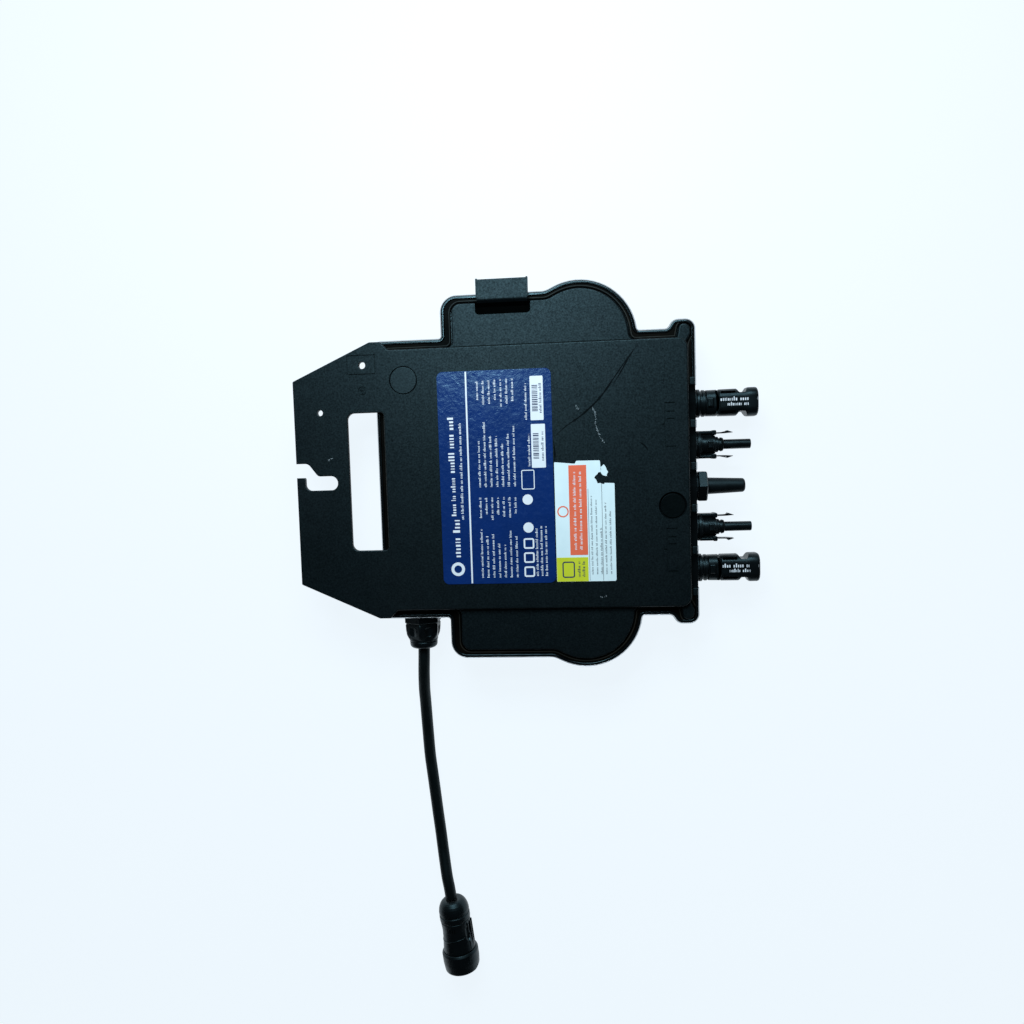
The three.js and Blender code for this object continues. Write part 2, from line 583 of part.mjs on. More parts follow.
const nutStart = GLAND.bodyEnd + GAP;
const nutHex = turned([[nutStart, 0], [nutStart, GLAND_NUT.hex],
  [GLAND_NUT.taperEnd, GLAND_NUT.taper], [GLAND_NUT.taperEnd, 0]], 6);
const nutRing = turned([[nutStart + OVERSHOOT, 0], [nutStart + OVERSHOOT, GLAND_NUT.ring],
  ...shoulder(GLAND_NUT.end - GLAND_NUT.round, GLAND_NUT.end, GLAND_NUT.ring, GLAND.bore + 1),
  [GLAND_NUT.end, 0]]);
const glandNut = cut(join(nutHex, nutRing), throughGland(GLAND.bore),
  rod(GLAND.neck + GAP, 0, GLAND.neckEnd + GAP));
piece('gland_nut', surface(glandNut), blackPlastic(), gland);
piece('gland_seal', ring(GLAND_SEAL.inner, GLAND_SEAL.outer, 1, GLAND_NUT.end), blackRubber(), gland);

const lockNutStart = -WALL.inset - GAP - DC_NUT.thickness;
const lockNutHex = flatsUp(rod(LOCK_NUT_RADIUS, lockNutStart, lockNutStart + DC_NUT.thickness, 6));
const lockNut = cut(solid(lockNutHex), throughGland(GLAND.shank + GAP));
piece('gland_locknut', surface(lockNut), blackPlastic(), gland);

// ---------------------------------------------------------------- AC cord and its plug
const cordStart = -TRAY.half - GLAND_NUT.end - GAP;
const cordRoute = [
  [GLAND.x, cordStart, GLAND.z], [-65.3, -108, 15.9], [-66, -117, 14.3], [-66.8, -127, 11],
  [-67.1, -137, 7.6], [-67.2, -148, 5], [-66.9, -160, 3.8], [-66.3, -172, 3.6],
  [-65.1, -184, 3.6], [-63.9, -196, 3.6], [-62.7, -208, 3.7], [-61.4, -219, 4.3],
  [-60.1, -229, 5.8], [-58.7, -238, 8], [-57.2, -246.5, 10.4], [-55.8, -253, 11.6],
  [PLUG.x - GAP * Math.sin(PLUG.lean), PLUG.y + GAP * Math.cos(PLUG.lean), PLUG.z],
];
piece('ac_cord', tube(cordRoute, CORD_RADIUS, CORD_SIDES, CORD_STEPS), blackRubber());

const plug = outwards(PLUG.x, PLUG.y, PLUG.z, PLUG.lean - Math.PI / 2);
const dome = shoulder(PLUG_NUT.dome, 0, PLUG_NUT.radius, PLUG_NUT.mouth).reverse();
const nutProfile = [[0, 0], ...dome, [PLUG_NUT.end, PLUG_NUT.radius], [PLUG_NUT.end, 0]];
piece('cord_plug_nut', turned(nutProfile, 24), blackPlastic(), plug);

const bodyStart = PLUG_NUT.end + GAP;
const bodyProfile = [[bodyStart, 0], [bodyStart, PLUG_BODY.start], [PLUG_BODY.waistAt, PLUG_BODY.waist],
  [PLUG_BODY.length, PLUG_BODY.end], [PLUG_BODY.length, 0]];
piece('cord_plug_body', turned(bodyProfile, 24), blackPlastic(), plug);

const frontStart = PLUG_BODY.length + GAP;
const cavityStart = PLUG_FRONT.end - PLUG_FRONT.cavityDepth;
const insertStart = cavityStart - PLUG_FRONT.insert;
const { radius: frontRadius, end: frontEnd, chamfer } = PLUG_FRONT;
const frontProfile = [[frontStart, 0], [frontStart, frontRadius - chamfer / 2],
  [frontStart + chamfer / 2, frontRadius], [frontEnd - chamfer, frontRadius],
  [frontEnd, frontRadius - chamfer], [frontEnd, PLUG_FRONT.cavity], [insertStart, PLUG_FRONT.cavity],
  [insertStart, 0]];
piece('cord_plug_front', turned(frontProfile, 28), blackPlastic(), plug);

const pinPlaces = [90, 210, 330].map((degrees) => {
  const angle = THREE.MathUtils.degToRad(degrees);
  return [PLUG_PIN.circle * Math.cos(angle), PLUG_PIN.circle * Math.sin(angle)];
});
const pinBore = rod(PLUG_PIN.radius + GAP, insertStart, cavityStart + OVERSHOOT, 12);
const insert = cut(
  solid(rod(PLUG_FRONT.cavity - GAP, insertStart + GAP, cavityStart)),
  ...pinPlaces.map(([y, z]) => pinBore.clone().translate(0, y, z)),
);
piece('cord_plug_insert', surface(insert), paint(0x3c3f42, 0.6), plug);
['earth', 'line', 'neutral'].forEach((name, i) => {
  const pin = rod(PLUG_PIN.radius, cavityStart - PLUG_PIN.rooted, cavityStart + PLUG_PIN.outside, 12);
  piece(`cord_plug_pin_${name}`, pin.translate(0, ...pinPlaces[i]), tinnedCopper(), plug);
});

// ---------------------------------------------------------------- electronics
const boardHoles = BOSS_PLACES.map(([x, y]) => standing(rod(BOSS.bore, 0, ON_BOARD, 12), x, y));
const boardBlank = prism(inset(cavityOutline, BOARD.inset), BOARD.low, BOARD.top);
piece('main_board', surface(cut(boardBlank, ...boardHoles)), circuitBoard());

BOSS_PLACES.forEach(([x, y], i) => {
  const headTop = ON_BOARD + BOSS.headHeight;
  const profile = [[BOSS.screwFoot, 0], [BOSS.screwFoot, BOSS.screw], [ON_BOARD, BOSS.screw],
    [ON_BOARD, BOSS.head], [headTop, BOSS.head], [headTop, 0]];
  piece(`board_screw_${i + 1}`, standing(turned(profile, 12), x, y), steel());
});

const { flange, flangeThickness, winding, height } = TRANSFORMER;
const coreProfile = [[0, 0], [0, flange], [flangeThickness, flange], [flangeThickness, winding],
  [height - flangeThickness, winding], [height - flangeThickness, flange], [height, flange], [height, 0]];
[1, -1].forEach((side, i) => {
  const core = standing(turned(coreProfile, 24), TRAY_BULGE.centreX, side * TRANSFORMER.y);
  piece(`transformer_${i + 1}`, core.translate(0, 0, ON_BOARD), paint(0x2b2b2e, 0.7));
});
CAPACITOR.rows.forEach((y, i) => {
  const can = standing(rod(CAPACITOR.radius, ON_BOARD, ON_BOARD + CAPACITOR.height), CAPACITOR.x, y);
  piece(`input_capacitor_${i + 1}`, can, paint(0x23262b, 0.35));
});
const boxPart = ({ length, width, height, x, y }, low) => block(length, width, height, x, y, low);
piece('film_capacitor', boxPart(FILM_CAPACITOR, ON_BOARD), paint(0xb02a1e, 0.5));
piece('output_relay', boxPart(RELAY, ON_BOARD), paint(0x1c1e22, 0.5));
const choke = standing(ring(CHOKE.inner, CHOKE.outer, ON_BOARD, ON_BOARD + CHOKE.height), CHOKE.x, CHOKE.y);
piece('line_choke', choke, paint(0x4a5a3a, 0.6));
piece('heat_spreader', boxPart(SPREADER, WALL.floor + GAP), paint(0xb8babc, 0.4, 1));

const { length, width, thickness, x: boardX, y: boardY, low: boardLow } = CONTROL_BOARD;
const controlBoard = block(length, width, thickness, boardX, boardY, boardLow);
const header = block(HEADER.length, HEADER.width, boardLow + thickness / 2 - ON_BOARD,
  HEADER.x, boardY, ON_BOARD);
piece('control_board', surface(join(controlBoard, header)), circuitBoard());

export default inverter;
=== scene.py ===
"""Looks of a two-input microinverter with a slotted flange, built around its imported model.

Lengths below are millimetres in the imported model's frame: +X to the connectors, +Y to the
hook, +Z out of the labelled cover. Meshes are scaled to metres when they are made.
"""
import math
import random

import bmesh
import bpy
from mathutils import Matrix, Vector


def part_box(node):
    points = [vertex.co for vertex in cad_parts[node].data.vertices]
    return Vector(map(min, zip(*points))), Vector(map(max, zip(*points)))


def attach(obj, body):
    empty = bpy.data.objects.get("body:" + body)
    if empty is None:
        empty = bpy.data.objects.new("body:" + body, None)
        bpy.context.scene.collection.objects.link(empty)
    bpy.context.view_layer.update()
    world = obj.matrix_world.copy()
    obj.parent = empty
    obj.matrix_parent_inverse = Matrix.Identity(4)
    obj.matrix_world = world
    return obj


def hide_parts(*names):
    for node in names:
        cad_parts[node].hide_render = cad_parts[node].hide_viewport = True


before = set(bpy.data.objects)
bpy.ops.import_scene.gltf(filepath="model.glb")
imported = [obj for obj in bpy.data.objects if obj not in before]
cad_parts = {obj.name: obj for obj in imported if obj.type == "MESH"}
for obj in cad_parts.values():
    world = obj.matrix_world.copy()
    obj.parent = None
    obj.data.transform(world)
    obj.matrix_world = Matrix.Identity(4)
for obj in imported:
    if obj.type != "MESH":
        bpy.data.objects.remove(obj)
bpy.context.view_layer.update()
random.seed(7)

MM = 0.001
CHASSIS = "chassis"
SHARP_ANGLE = math.radians(38)
scene = bpy.context.scene


def span(node):
    low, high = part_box(node)
    return low / MM, high / MM


def middle(node):
    low, high = span(node)
    return (low + high) / 2


TRAY_LOW, TRAY_HIGH = span("housing_tray")
COVER_LOW, COVER_HIGH = span("back_cover")
BODY_Y = (TRAY_LOW.y + TRAY_HIGH.y) / 2
WALL_X = TRAY_HIGH.x
TOP = COVER_HIGH.z
CONNECTOR_Z = middle("dc_socket_1").z

# ---------------------------------------------------------------- camera and lights
CAMERA_PLACE = Vector((0.03048, 0.00737, 0.46737))
CAMERA_AIM = Vector((-0.0076, -0.0201, 0.0361))
CAMERA_UP = Vector((0.0247, 0.9975, -0.0657))
LENS_MM = 27.04
LAMP_COLOR = (0.82, 0.94, 1.0)
FLOOR_COLOR = (0.86, 0.94, 1.0)
FLOOR_GLOW = 0.96
FLOOR_PAINT = 0.07
SHEEN = (0.50, 0.86, 1.0, 1.0)


def look_from(place, aim, up):
    back = (place - aim).normalized()
    right = up.cross(back).normalized()
    matrix = Matrix((right, back.cross(right), back)).transposed().to_4x4()
    matrix.translation = place
    return matrix


def add_object(name, data):
    made = bpy.data.objects.new(name, data)
    scene.collection.objects.link(made)
    return made


def make_camera():
    data = bpy.data.cameras.new("camera")
    data.lens = LENS_MM
    data.sensor_width = 36
    data.clip_start = 0.01
    camera = add_object("camera", data)
    camera.matrix_world = look_from(CAMERA_PLACE, CAMERA_AIM, CAMERA_UP)
    scene.camera = camera


def area_light(name, place, size, power):
    data = bpy.data.lights.new(name, "AREA")
    data.shape = "RECTANGLE"
    data.size, data.size_y = size
    data.energy = power
    data.color = LAMP_COLOR
    light = add_object(name, data)
    light.matrix_world = look_from(Vector(place), Vector(), Vector((0.01, 0.1, 1)))


make_camera()

# ---------------------------------------------------------------- outlines
# A corner is (x, y, radius), and an outline's corners run counter-clockwise.
TURN_STEP = math.radians(6)
EDGE_STEPS = 4
SMALLEST_ARC = 0.05
INSET_PROBE = 0.04


def mirrored(upper):
    return [*upper, *[(x, -y, radius) for x, y, radius in reversed(upper)]]


def rectangle(x0, y0, x1, y1, radius=0.3):
    return [(x1, y1, radius), (x0, y1, radius), (x0, y0, radius), (x1, y0, radius)]


def circle(x, y, radius):
    return rectangle(x - radius, y - radius, x + radius, y + radius, radius - 0.001)


def inset(corners, distance):
    """Moves every edge of an outline inwards and keeps its arcs concentric."""
    moved = []
    for i, (x, y, radius) in enumerate(corners):
        after_x, after_y, _ = corners[(i + 1) % len(corners)]
        before = Vector((x - corners[i - 1][0], y - corners[i - 1][1])).normalized()
        after = Vector((after_x - x, after_y - y)).normalized()
        scale = distance / (1 + before.dot(after))
        grown = radius - distance if before.cross(after) > 0 else radius + distance
        x -= (before.y + after.y) * scale
        y += (before.x + after.x) * scale
        moved.append((x, y, max(grown, SMALLEST_ARC)))
    return moved


def arc(before, corner, after, radius):
    """The points that round one corner of a path."""
    incoming = (corner - before).normalized()
    outgoing = (after - corner).normalized()
    turn = math.atan2(incoming.cross(outgoing), incoming.dot(outgoing))
    start = corner - incoming * radius * math.tan(abs(turn) / 2)
    centre = start + Vector((-incoming.y, incoming.x)) * math.copysign(radius, turn)
    steps = max(2, math.ceil(abs(turn) / TURN_STEP - 0.1))
    spoke = start - centre
    return [centre + Matrix.Rotation(turn * k / steps, 2) @ spoke for k in range(steps + 1)]


def rounded(corners):
    """An open path whose inner corners, (along, across, radius), are rounded."""
    places = [Vector(corner[:2]) for corner in corners]
    path = [places[0]]
    for i in range(1, len(corners) - 1):
        path += arc(places[i - 1], places[i], places[i + 1], max(corners[i][2], SMALLEST_ARC))
    return [*path, places[-1]]


def outline(corners):
    places = [Vector(corner[:2]) for corner in corners]
    points = []
    for i, place in enumerate(places):
        after = places[(i + 1) % len(places)]
        points += arc(places[i - 1], place, after, max(corners[i][2], SMALLEST_ARC))
    return points


def rim_of(corners, spacing):
    """Outline points, each with the move that insets it by 1 mm; long edges are subdivided."""
    here = outline(corners)
    inner = outline(inset(corners, INSET_PROBE))
    rim = []
    for i, point in enumerate(here):
        after = here[(i + 1) % len(here)]
        move = (inner[i] - point) / INSET_PROBE
        after_move = (inner[(i + 1) % len(here)] - after) / INSET_PROBE
        steps = max(1, round((after - point).length / spacing))
        for k in range(steps):
            rim.append((point.lerp(after, k / steps), move.lerp(after_move, k / steps)))
    return rim


# ---------------------------------------------------------------- side profiles
# A side profile is a list of (height, inset) pairs.
def edges(low, high, foot=0.2, crown=0.2):
    """The side of a plate whose edges are rounded, or flared where the radius is negative."""
    angles = [math.pi / 2 * k / EDGE_STEPS for k in range(EDGE_STEPS + 1)]
    lower = [(low + abs(foot) * (1 - math.cos(a)), foot * (1 - math.sin(a))) for a in angles]
    upper = [(high - abs(crown) * (1 - math.sin(a)), crown * (1 - math.cos(a))) for a in angles]
    return [*lower, *upper]


def opening(low, high, edge=0.3):
    """A cutter's side that leaves rounded edges on both faces of a sheet."""
    return [(low - 1, -edge), *edges(low, high, -edge, -edge), (high + 1, -edge)]


def recess(floor, high, edge=0.25):
    """A cutter's side for a blind recess with a rounded floor and a rounded mouth."""
    return [*edges(floor, high, edge, -edge), (high + 1, -edge)]


# ---------------------------------------------------------------- solids
def bridge(bm, loops):
    for lower, upper in zip(loops, loops[1:]):
        for i in range(max(len(lower), len(upper))):
            corners = [lower[i % len(lower)], lower[(i + 1) % len(lower)],
                       upper[(i + 1) % len(upper)], upper[i % len(upper)]]
            bm.faces.new(list(dict.fromkeys(corners)))


def loft(rings):
    """A solid through rings of points; rings of one point close it, others are capped."""
    bm = bmesh.new()
    loops = [[bm.verts.new(point) for point in ring] for ring in rings]
    bridge(bm, loops)
    for end in (loops[0], loops[-1]):
        if len(end) > 2:
            bm.faces.new(end)
    return bm


def prism(corners, profile, spacing=500.0):
    """A solid over an outline; profile is its side, or a function that gives it at a point."""
    rim = rim_of(corners, spacing)
    sides = [profile(point) if callable(profile) else profile for point, _ in rim]
    rings = []
    for level in range(len(sides[0])):
        ring = []
        for (point, move), side in zip(rim, sides):
            height, distance = side[level]
            place = point + move * distance
            ring.append((place.x, place.y, height))
        rings.append(ring)
    return loft(rings)


def turned(profile, segments=48):
    """A solid turned about the X axis; the profile starts and ends on it."""
    rings = []
    for along, radius in profile:
        if radius < SMALLEST_ARC / 2:
            rings.append([(along, 0, 0)])
            continue
        angles = [2 * math.pi * k / segments for k in range(segments)]
        rings.append([(along, radius * math.cos(a), radius * math.sin(a)) for a in angles])
    return loft(rings)


def spun(corners, segments=48):
    """A turned solid whose profile has rounded corners."""
    return turned(rounded(corners), segments)


def rod(radius, start, end, edge=0.2, segments=48):
    return spun([(start, 0, 0), (start, radius, edge), (end, radius, edge), (end, 0, 0)], segments)


def sections(stations):
    """A solid along X through rounded rectangles (x, half width, half height, radius)."""
    rings = []
    for x, half_y, half_z, radius in stations:
        shape = outline(rectangle(-half_y, -half_z, half_y, half_z, radius))
        rings.append([(x, point.x, point.y) for point in shape])
    return loft(rings)


def hexagons(stations):
    """A six-sided solid along X, flats up and down: (x, across corners / 2, corner radius)."""
    rings = []
    for x, reach, radius in stations:
        angles = [math.pi / 3 * k for k in range(6)]
        shape = outline([(reach * math.cos(a), reach * math.sin(a), radius) for a in angles])
        rings.append([(x, point.x, point.y) for point in shape])
    return loft(rings)


def block(x0, y0, z0, x1, y1, z1):
    return prism(rectangle(x0, y0, x1, y1, 0), [(z0, 0), (z1, 0)])


def hoop(corners, section):
    """A ring-shaped solid along an outline; its section is a closed list of (height, inset)."""
    bm = bmesh.new()
    loops = []
    for height, distance in section:
        ring = outline(inset(corners, distance))
        loops.append([bm.verts.new((point.x, point.y, height)) for point in ring])
    bridge(bm, [*loops, loops[0]])
    return bm


def band(corners, width, low, high):
    """A raised or engraved line that follows an outline."""
    return hoop(corners, [(low, 0), (high, 0), (high, width), (low, width)])


def moved(bm, matrix):
    bm.transform(matrix)
    return bm


def at(x, y, z):
    return Matrix.Translation((x, y, z))


def rotation(degrees, axis="X"):
    return Matrix.Rotation(math.radians(degrees), 4, axis)


def standing(bm, x, y):
    """Turns a solid made along X so that it stands along Z at a place."""
    return moved(bm, at(x, y, 0) @ rotation(-90, "Y"))


def scratch_object(bm):
    bmesh.ops.remove_doubles(bm, verts=bm.verts, dist=1e-4)
    bmesh.ops.recalc_face_normals(bm, faces=bm.faces)
    mesh = bpy.data.meshes.new("scratch")
    bm.to_mesh(mesh)
    bm.free()
    return add_object("scratch", mesh)


def carved(bm, joined=(), cutters=(), within=None):
    """Joins solids to the first one, cuts others out of it, and keeps what is within another."""
    whole = scratch_object(bm)
    tools = [(scratch_object(tool), "UNION") for tool in joined]
    tools += [(scratch_object(tool), "DIFFERENCE") for tool in cutters]
    if within:
        tools.append((scratch_object(within), "INTERSECT"))
    for tool, operation in tools:
        modifier = whole.modifiers.new("carve", "BOOLEAN")
        modifier.operation = operation
        modifier.solver = "EXACT"
        modifier.object = tool
    depsgraph = bpy.context.evaluated_depsgraph_get()
    mesh = bpy.data.meshes.new_from_object(whole.evaluated_get(depsgraph))
    result = bmesh.new()
    result.from_mesh(mesh)
    bpy.data.meshes.remove(mesh)
    for used in [whole, *[tool for tool, _ in tools]]:
        bpy.data.meshes.remove(used.data)
    return result


def piece(name, bm, material, place=Matrix(), body=CHASSIS, replaces=None):
    """Makes a solid into a smooth-shaded piece of the object."""
    bmesh.ops.remove_doubles(bm, verts=bm.verts, dist=1e-3)
    bmesh.ops.recalc_face_normals(bm, faces=bm.faces)
    bm.transform(Matrix.Scale(MM, 4) @ place)
    mesh = bpy.data.meshes.new(name)
    bm.to_mesh(mesh)
    bm.free()
    mesh.shade_smooth()
    mesh.set_sharp_from_angle(angle=SHARP_ANGLE)
    mesh.materials.append(material)
    made = add_object(name, mesh)
    normals = made.modifiers.new("normals", "WEIGHTED_NORMAL")
    normals.keep_sharp = True
    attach(made, body)
    if replaces:
        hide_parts(replaces)
    return made


# ---------------------------------------------------------------- material nodes
class Surface:
    """A node material whose detail is measured in millimetres on the object."""

    def __init__(self, name, roughness, metallic=0.0, specular=0.5):
        self.material = bpy.data.materials.new(name)
        self.material.use_nodes = True
        self.tree = self.material.node_tree
        self.shader = self.tree.nodes["Principled BSDF"]
        self.drive("Roughness", roughness)
        self.drive("Metallic", metallic)
        self.drive("Specular IOR Level", specular)
        place = self.node("ShaderNodeTexCoord").outputs["Object"]
        self.place = self.node("ShaderNodeVectorMath", {0: place, 1: (1 / MM,) * 3},
                               operation="MULTIPLY").outputs[0]

    def feed(self, socket, value):
        if isinstance(value, bpy.types.NodeSocket):
            self.tree.links.new(value, socket)
        else:
            socket.default_value = value

    def drive(self, name, value):
        self.feed(self.shader.inputs[name], value)

    def node(self, kind, inputs=None, **settings):
        made = self.tree.nodes.new(kind)
        for key, value in settings.items():
            setattr(made, key, value)
        for key, value in (inputs or {}).items():
            self.feed(made.inputs[key], value)
        return made

    def stretched(self, x, y, z):
        return self.node("ShaderNodeVectorMath", {0: self.place, 1: (x, y, z)},
                         operation="MULTIPLY").outputs[0]

    def noise(self, scale, detail=2.0, vector=None, rough=0.5):
        inputs = {"Vector": vector or self.place, "Scale": scale, "Detail": detail,
                  "Roughness": rough}
        return self.node("ShaderNodeTexNoise", inputs).outputs["Fac"]

    def ranged(self, value, low, high, to_low=0.0, to_high=1.0):
        inputs = {"Value": value, "From Min": low, "From Max": high, "To Min": to_low,
                  "To Max": to_high}
        return self.node("ShaderNodeMapRange", inputs).outputs["Result"]

    def mixed(self, factor, first, second):
        """Mixes two colours; the mix node's colour sockets are 6 and 7, its colour output is 2."""
        colors = [color if isinstance(color, bpy.types.NodeSocket) else (*color, 1)
                  for color in (first, second)]
        return self.node("ShaderNodeMix", {0: factor, 6: colors[0], 7: colors[1]},
                         data_type="RGBA").outputs[2]

    def math(self, operation, first, second):
        return self.node("ShaderNodeMath", {0: first, 1: second}, operation=operation).outputs[0]

    def bumped(self, height, depth, strength=1.0):
        """Adds relief of a depth in millimetres on top of what is there."""
        before = self.shader.inputs["Normal"].links
        inputs = {"Height": height, "Distance": depth * MM, "Strength": strength}
        if before:
            inputs["Normal"] = before[0].from_socket
        self.drive("Normal", self.node("ShaderNodeBump", inputs).outputs[0])


def grainy(name, dark, light, roughness, grain, relief, dust=0.0, specular=0.5, spread=0.08):
    """A plastic, paint or rubber: cloudy colour, uneven gloss, fine grain and specks of dust."""
    made = Surface(name, roughness, specular=specular)
    clouds = made.noise(0.045, 4)
    color = made.mixed(made.ranged(clouds, 0.3, 0.7), dark, light)
    if dust:
        specks = made.ranged(made.noise(1.1, 3, rough=0.7), 0.70, 0.78)
        film = made.ranged(made.noise(0.02, 5), 0.45, 0.8, 0, 0.12)
        amount = made.math("MULTIPLY", made.math("MAXIMUM", specks, film), dust)
        color = made.mixed(amount, color, (0.32, 0.33, 0.34))
    made.drive("Base Color", color)
    made.drive("Specular Tint", SHEEN)
    gloss = made.ranged(made.noise(0.12, 4), 0.3, 0.7, roughness - spread, roughness + spread)
    made.drive("Roughness", gloss)
    made.bumped(made.noise(grain, 3), relief)
    return made


def powder_coat(name, dull, bright):
    made = grainy(name, (0.0008, 0.0015, 0.0020), (0.0012, 0.0023, 0.0030), 0.47, 2.6,
                  0.035, dust=0.03, specular=0.29, spread=0.02)
    speckle = made.noise(1.1, 3, rough=0.65)
    made.drive("Specular IOR Level", made.ranged(speckle, 0.32, 0.68, dull, bright))
    rubs = made.noise(0.5, 3, made.stretched(0.05, 1.0, 1.0), rough=0.6)
    made.bumped(made.ranged(rubs, 0.66, 0.70), 0.004)
    return made.material


def plain(*look, **extra):
    """A material that is only grainy."""
    return grainy(*look, **extra).material


def cord_sheath():
    made = grainy("cord_sheath", (0.0014, 0.0020, 0.0022), (0.0024, 0.0034, 0.0036), 0.5, 1.2, 0.03,
                  dust=0.03, specular=0.22)
    made.bumped(made.noise(0.7, 2, made.stretched(1.0, 0.06, 1.0)), 0.06)
    return made.material


def metal(name, color, roughness, scratches=0.05):
    made = Surface(name, roughness, metallic=1.0)
    made.drive("Base Color", made.mixed(made.noise(0.3, 4), [c * 0.8 for c in color], color))
    brushed = made.noise(3.0, 3, made.stretched(0.15, 1.0, 1.0))
    made.drive("Roughness", made.ranged(brushed, 0.3, 0.7, roughness - 0.08, roughness + 0.1))
    made.bumped(brushed, scratches)
    return made.material


def label_film():
    """Printed film stuck down with air and adhesive ripples under it."""
    made = Surface("label_film", 0.26, specular=0.42)
    made.drive("Specular Tint", SHEEN)
    clouds = made.noise(0.06, 3)
    made.drive("Base Color", made.mixed(clouds, (0.0015, 0.016, 0.100), (0.0035, 0.026, 0.150)))
    made.drive("Roughness", made.ranged(made.noise(0.5, 4), 0.3, 0.7, 0.20, 0.32))
    made.bumped(made.noise(0.26, 3, rough=0.6), 0.42, 0.6)
    made.bumped(made.noise(2.4, 2), 0.015)
    return made.material


def paper(name, dark, light):
    made = Surface(name, 0.5)
    made.drive("Base Color", made.mixed(made.noise(0.12, 5), dark, light))
    creases = made.noise(0.13, 2, made.stretched(1.0, 0.16, 1.0))
    made.drive("Roughness", made.ranged(creases, 0.3, 0.7, 0.42, 0.6))
    made.bumped(creases, 0.35)
    made.bumped(made.noise(2.2, 3), 0.02)
    return made.material


def smoked_lens():
    made = grainy("smoked_lens", (0.020, 0.023, 0.025), (0.030, 0.034, 0.037), 0.14, 0.8, 0.01)
    made.drive("Coat Weight", 0.6)
    return made.material


def board_green():
    made = Surface("board_green", 0.35)
    tracks = made.noise(0.9, 1, made.stretched(1.0, 0.2, 1.0))
    copper = made.ranged(tracks, 0.52, 0.54)
    made.drive("Base Color", made.mixed(copper, (0.010, 0.085, 0.030), (0.020, 0.150, 0.055)))
    made.bumped(copper, 0.035)
    return made.material


def floor_paint():
    made = Surface("floor_paint", 0.6)
    dull = [c * FLOOR_PAINT for c in FLOOR_COLOR]
    made.drive("Base Color", made.mixed(made.noise(0.01, 2), dull, [c * 1.05 for c in dull]))
    made.drive("Emission Color", (*FLOOR_COLOR, 1))
    made.drive("Emission Strength", FLOOR_GLOW)
    made.bumped(made.noise(0.4, 3), 0.02)
    return made.material


POWDER = powder_coat("powder_coat", 0.14, 0.44)
CAP_COAT = powder_coat("cap_coat", 0.24, 0.50)
GLOSS = plain("gloss_paint", (0.0012, 0.0016, 0.0018), (0.0022, 0.0026, 0.0030), 0.22, 0.5, 0.03,
              dust=0.02, specular=0.4)
NYLON = plain("nylon", (0.0010, 0.0014, 0.0018), (0.0018, 0.0024, 0.0029), 0.36, 3.2, 0.02,
              dust=0.02, specular=0.32)
RUBBER = plain("rubber", (0.0012, 0.0017, 0.0021), (0.0020, 0.0027, 0.0032), 0.5, 1.8, 0.03,
               dust=0.03, specular=0.3)
SHEATH = cord_sheath()
# Near-black with almost no gloss: painted shade, for the shadow at the foot of the cover's step and in the
# pocket under the hook.
PAINTED_SHADE = plain("painted_shade_black", (0.0002, 0.0003, 0.0003), (0.0004, 0.0005, 0.0005), 0.8, 1.4, 0.05,
                   specular=0.015)
# Bright metal for the rounded outer edge of the tray's glossy black lip: a painted reflection of the
# bright surroundings.
PAINTED_REFLECTION = metal("painted_reflection_metal", (0.50, 0.54, 0.57), 0.3, 0.02)
SEALANT = plain("sealant", (0.0012, 0.0009, 0.0006), (0.0040, 0.0030, 0.0020), 0.55, 0.8, 0.12,
                dust=0.02, specular=0.03)
SEAL_LIP = plain("seal_lip", (0.008, 0.0068, 0.0048), (0.020, 0.017, 0.0125), 0.55, 0.8, 0.12,
                 dust=0.02, specular=0.2)
VENT_BLACK = plain("vent_black", (0.0006, 0.0011, 0.0012), (0.001, 0.0018, 0.0020), 0.5, 0.7, 0.12,
                   specular=0.08)
SCUFF = plain("scuff", (0.0006, 0.0008, 0.001), (0.001, 0.0015, 0.002), 0.6, 2.0, 0.02, specular=0.07)
CHALK = plain("chalk_mark", (0.16, 0.20, 0.22), (0.36, 0.42, 0.46), 0.7, 2.0, 0.02)
FILM = label_film()
WHITE_PAPER = paper("white_paper", (0.64, 0.82, 0.89), (0.76, 0.94, 0.99))
RED_PAPER = paper("red_paper", (0.72, 0.12, 0.055), (0.86, 0.17, 0.08))
YELLOW_PAPER = paper("yellow_paper", (0.50, 0.58, 0.015), (0.62, 0.70, 0.03))
WHITE_INK = paper("white_ink", (0.66, 0.74, 0.82), (0.80, 0.88, 0.95))
GREY_INK = paper("grey_ink", (0.10, 0.12, 0.14), (0.16, 0.18, 0.20))
BLUE_INK = paper("blue_ink", (0.008, 0.022, 0.075), (0.012, 0.030, 0.10))
LENS = smoked_lens()
TINNED = metal("tinned_copper", (0.62, 0.60, 0.55), 0.26)
STEEL = metal("zinc_steel", (0.52, 0.53, 0.55), 0.32)
ALUMINIUM = metal("milled_aluminium", (0.60, 0.61, 0.62), 0.34, 0.02)
BOARD = board_green()
FERRITE = plain("ferrite", (0.020, 0.020, 0.022), (0.034, 0.034, 0.036), 0.6, 1.4, 0.05)
SLEEVE = plain("shrink_sleeve", (0.011, 0.013, 0.018), (0.017, 0.019, 0.026), 0.3, 0.6, 0.01)
FILM_CASE = plain("potted_case", (0.30, 0.022, 0.012), (0.38, 0.03, 0.018), 0.4, 1.6, 0.02)
RELAY_CASE = plain("relay_case", (0.012, 0.014, 0.017), (0.02, 0.022, 0.026), 0.42, 2.0, 0.02)
CHOKE_COAT = plain("choke_coat", (0.040, 0.070, 0.030), (0.065, 0.10, 0.045), 0.5, 1.2, 0.04)
INSERT_GREY = plain("insert_grey", (0.040, 0.043, 0.048), (0.06, 0.064, 0.07), 0.5, 2.4, 0.02)


# ---------------------------------------------------------------- CAD nodes that keep their mesh
def numbered(stem, count=2):
    return [f"{stem}_{i + 1}" for i in range(count)]


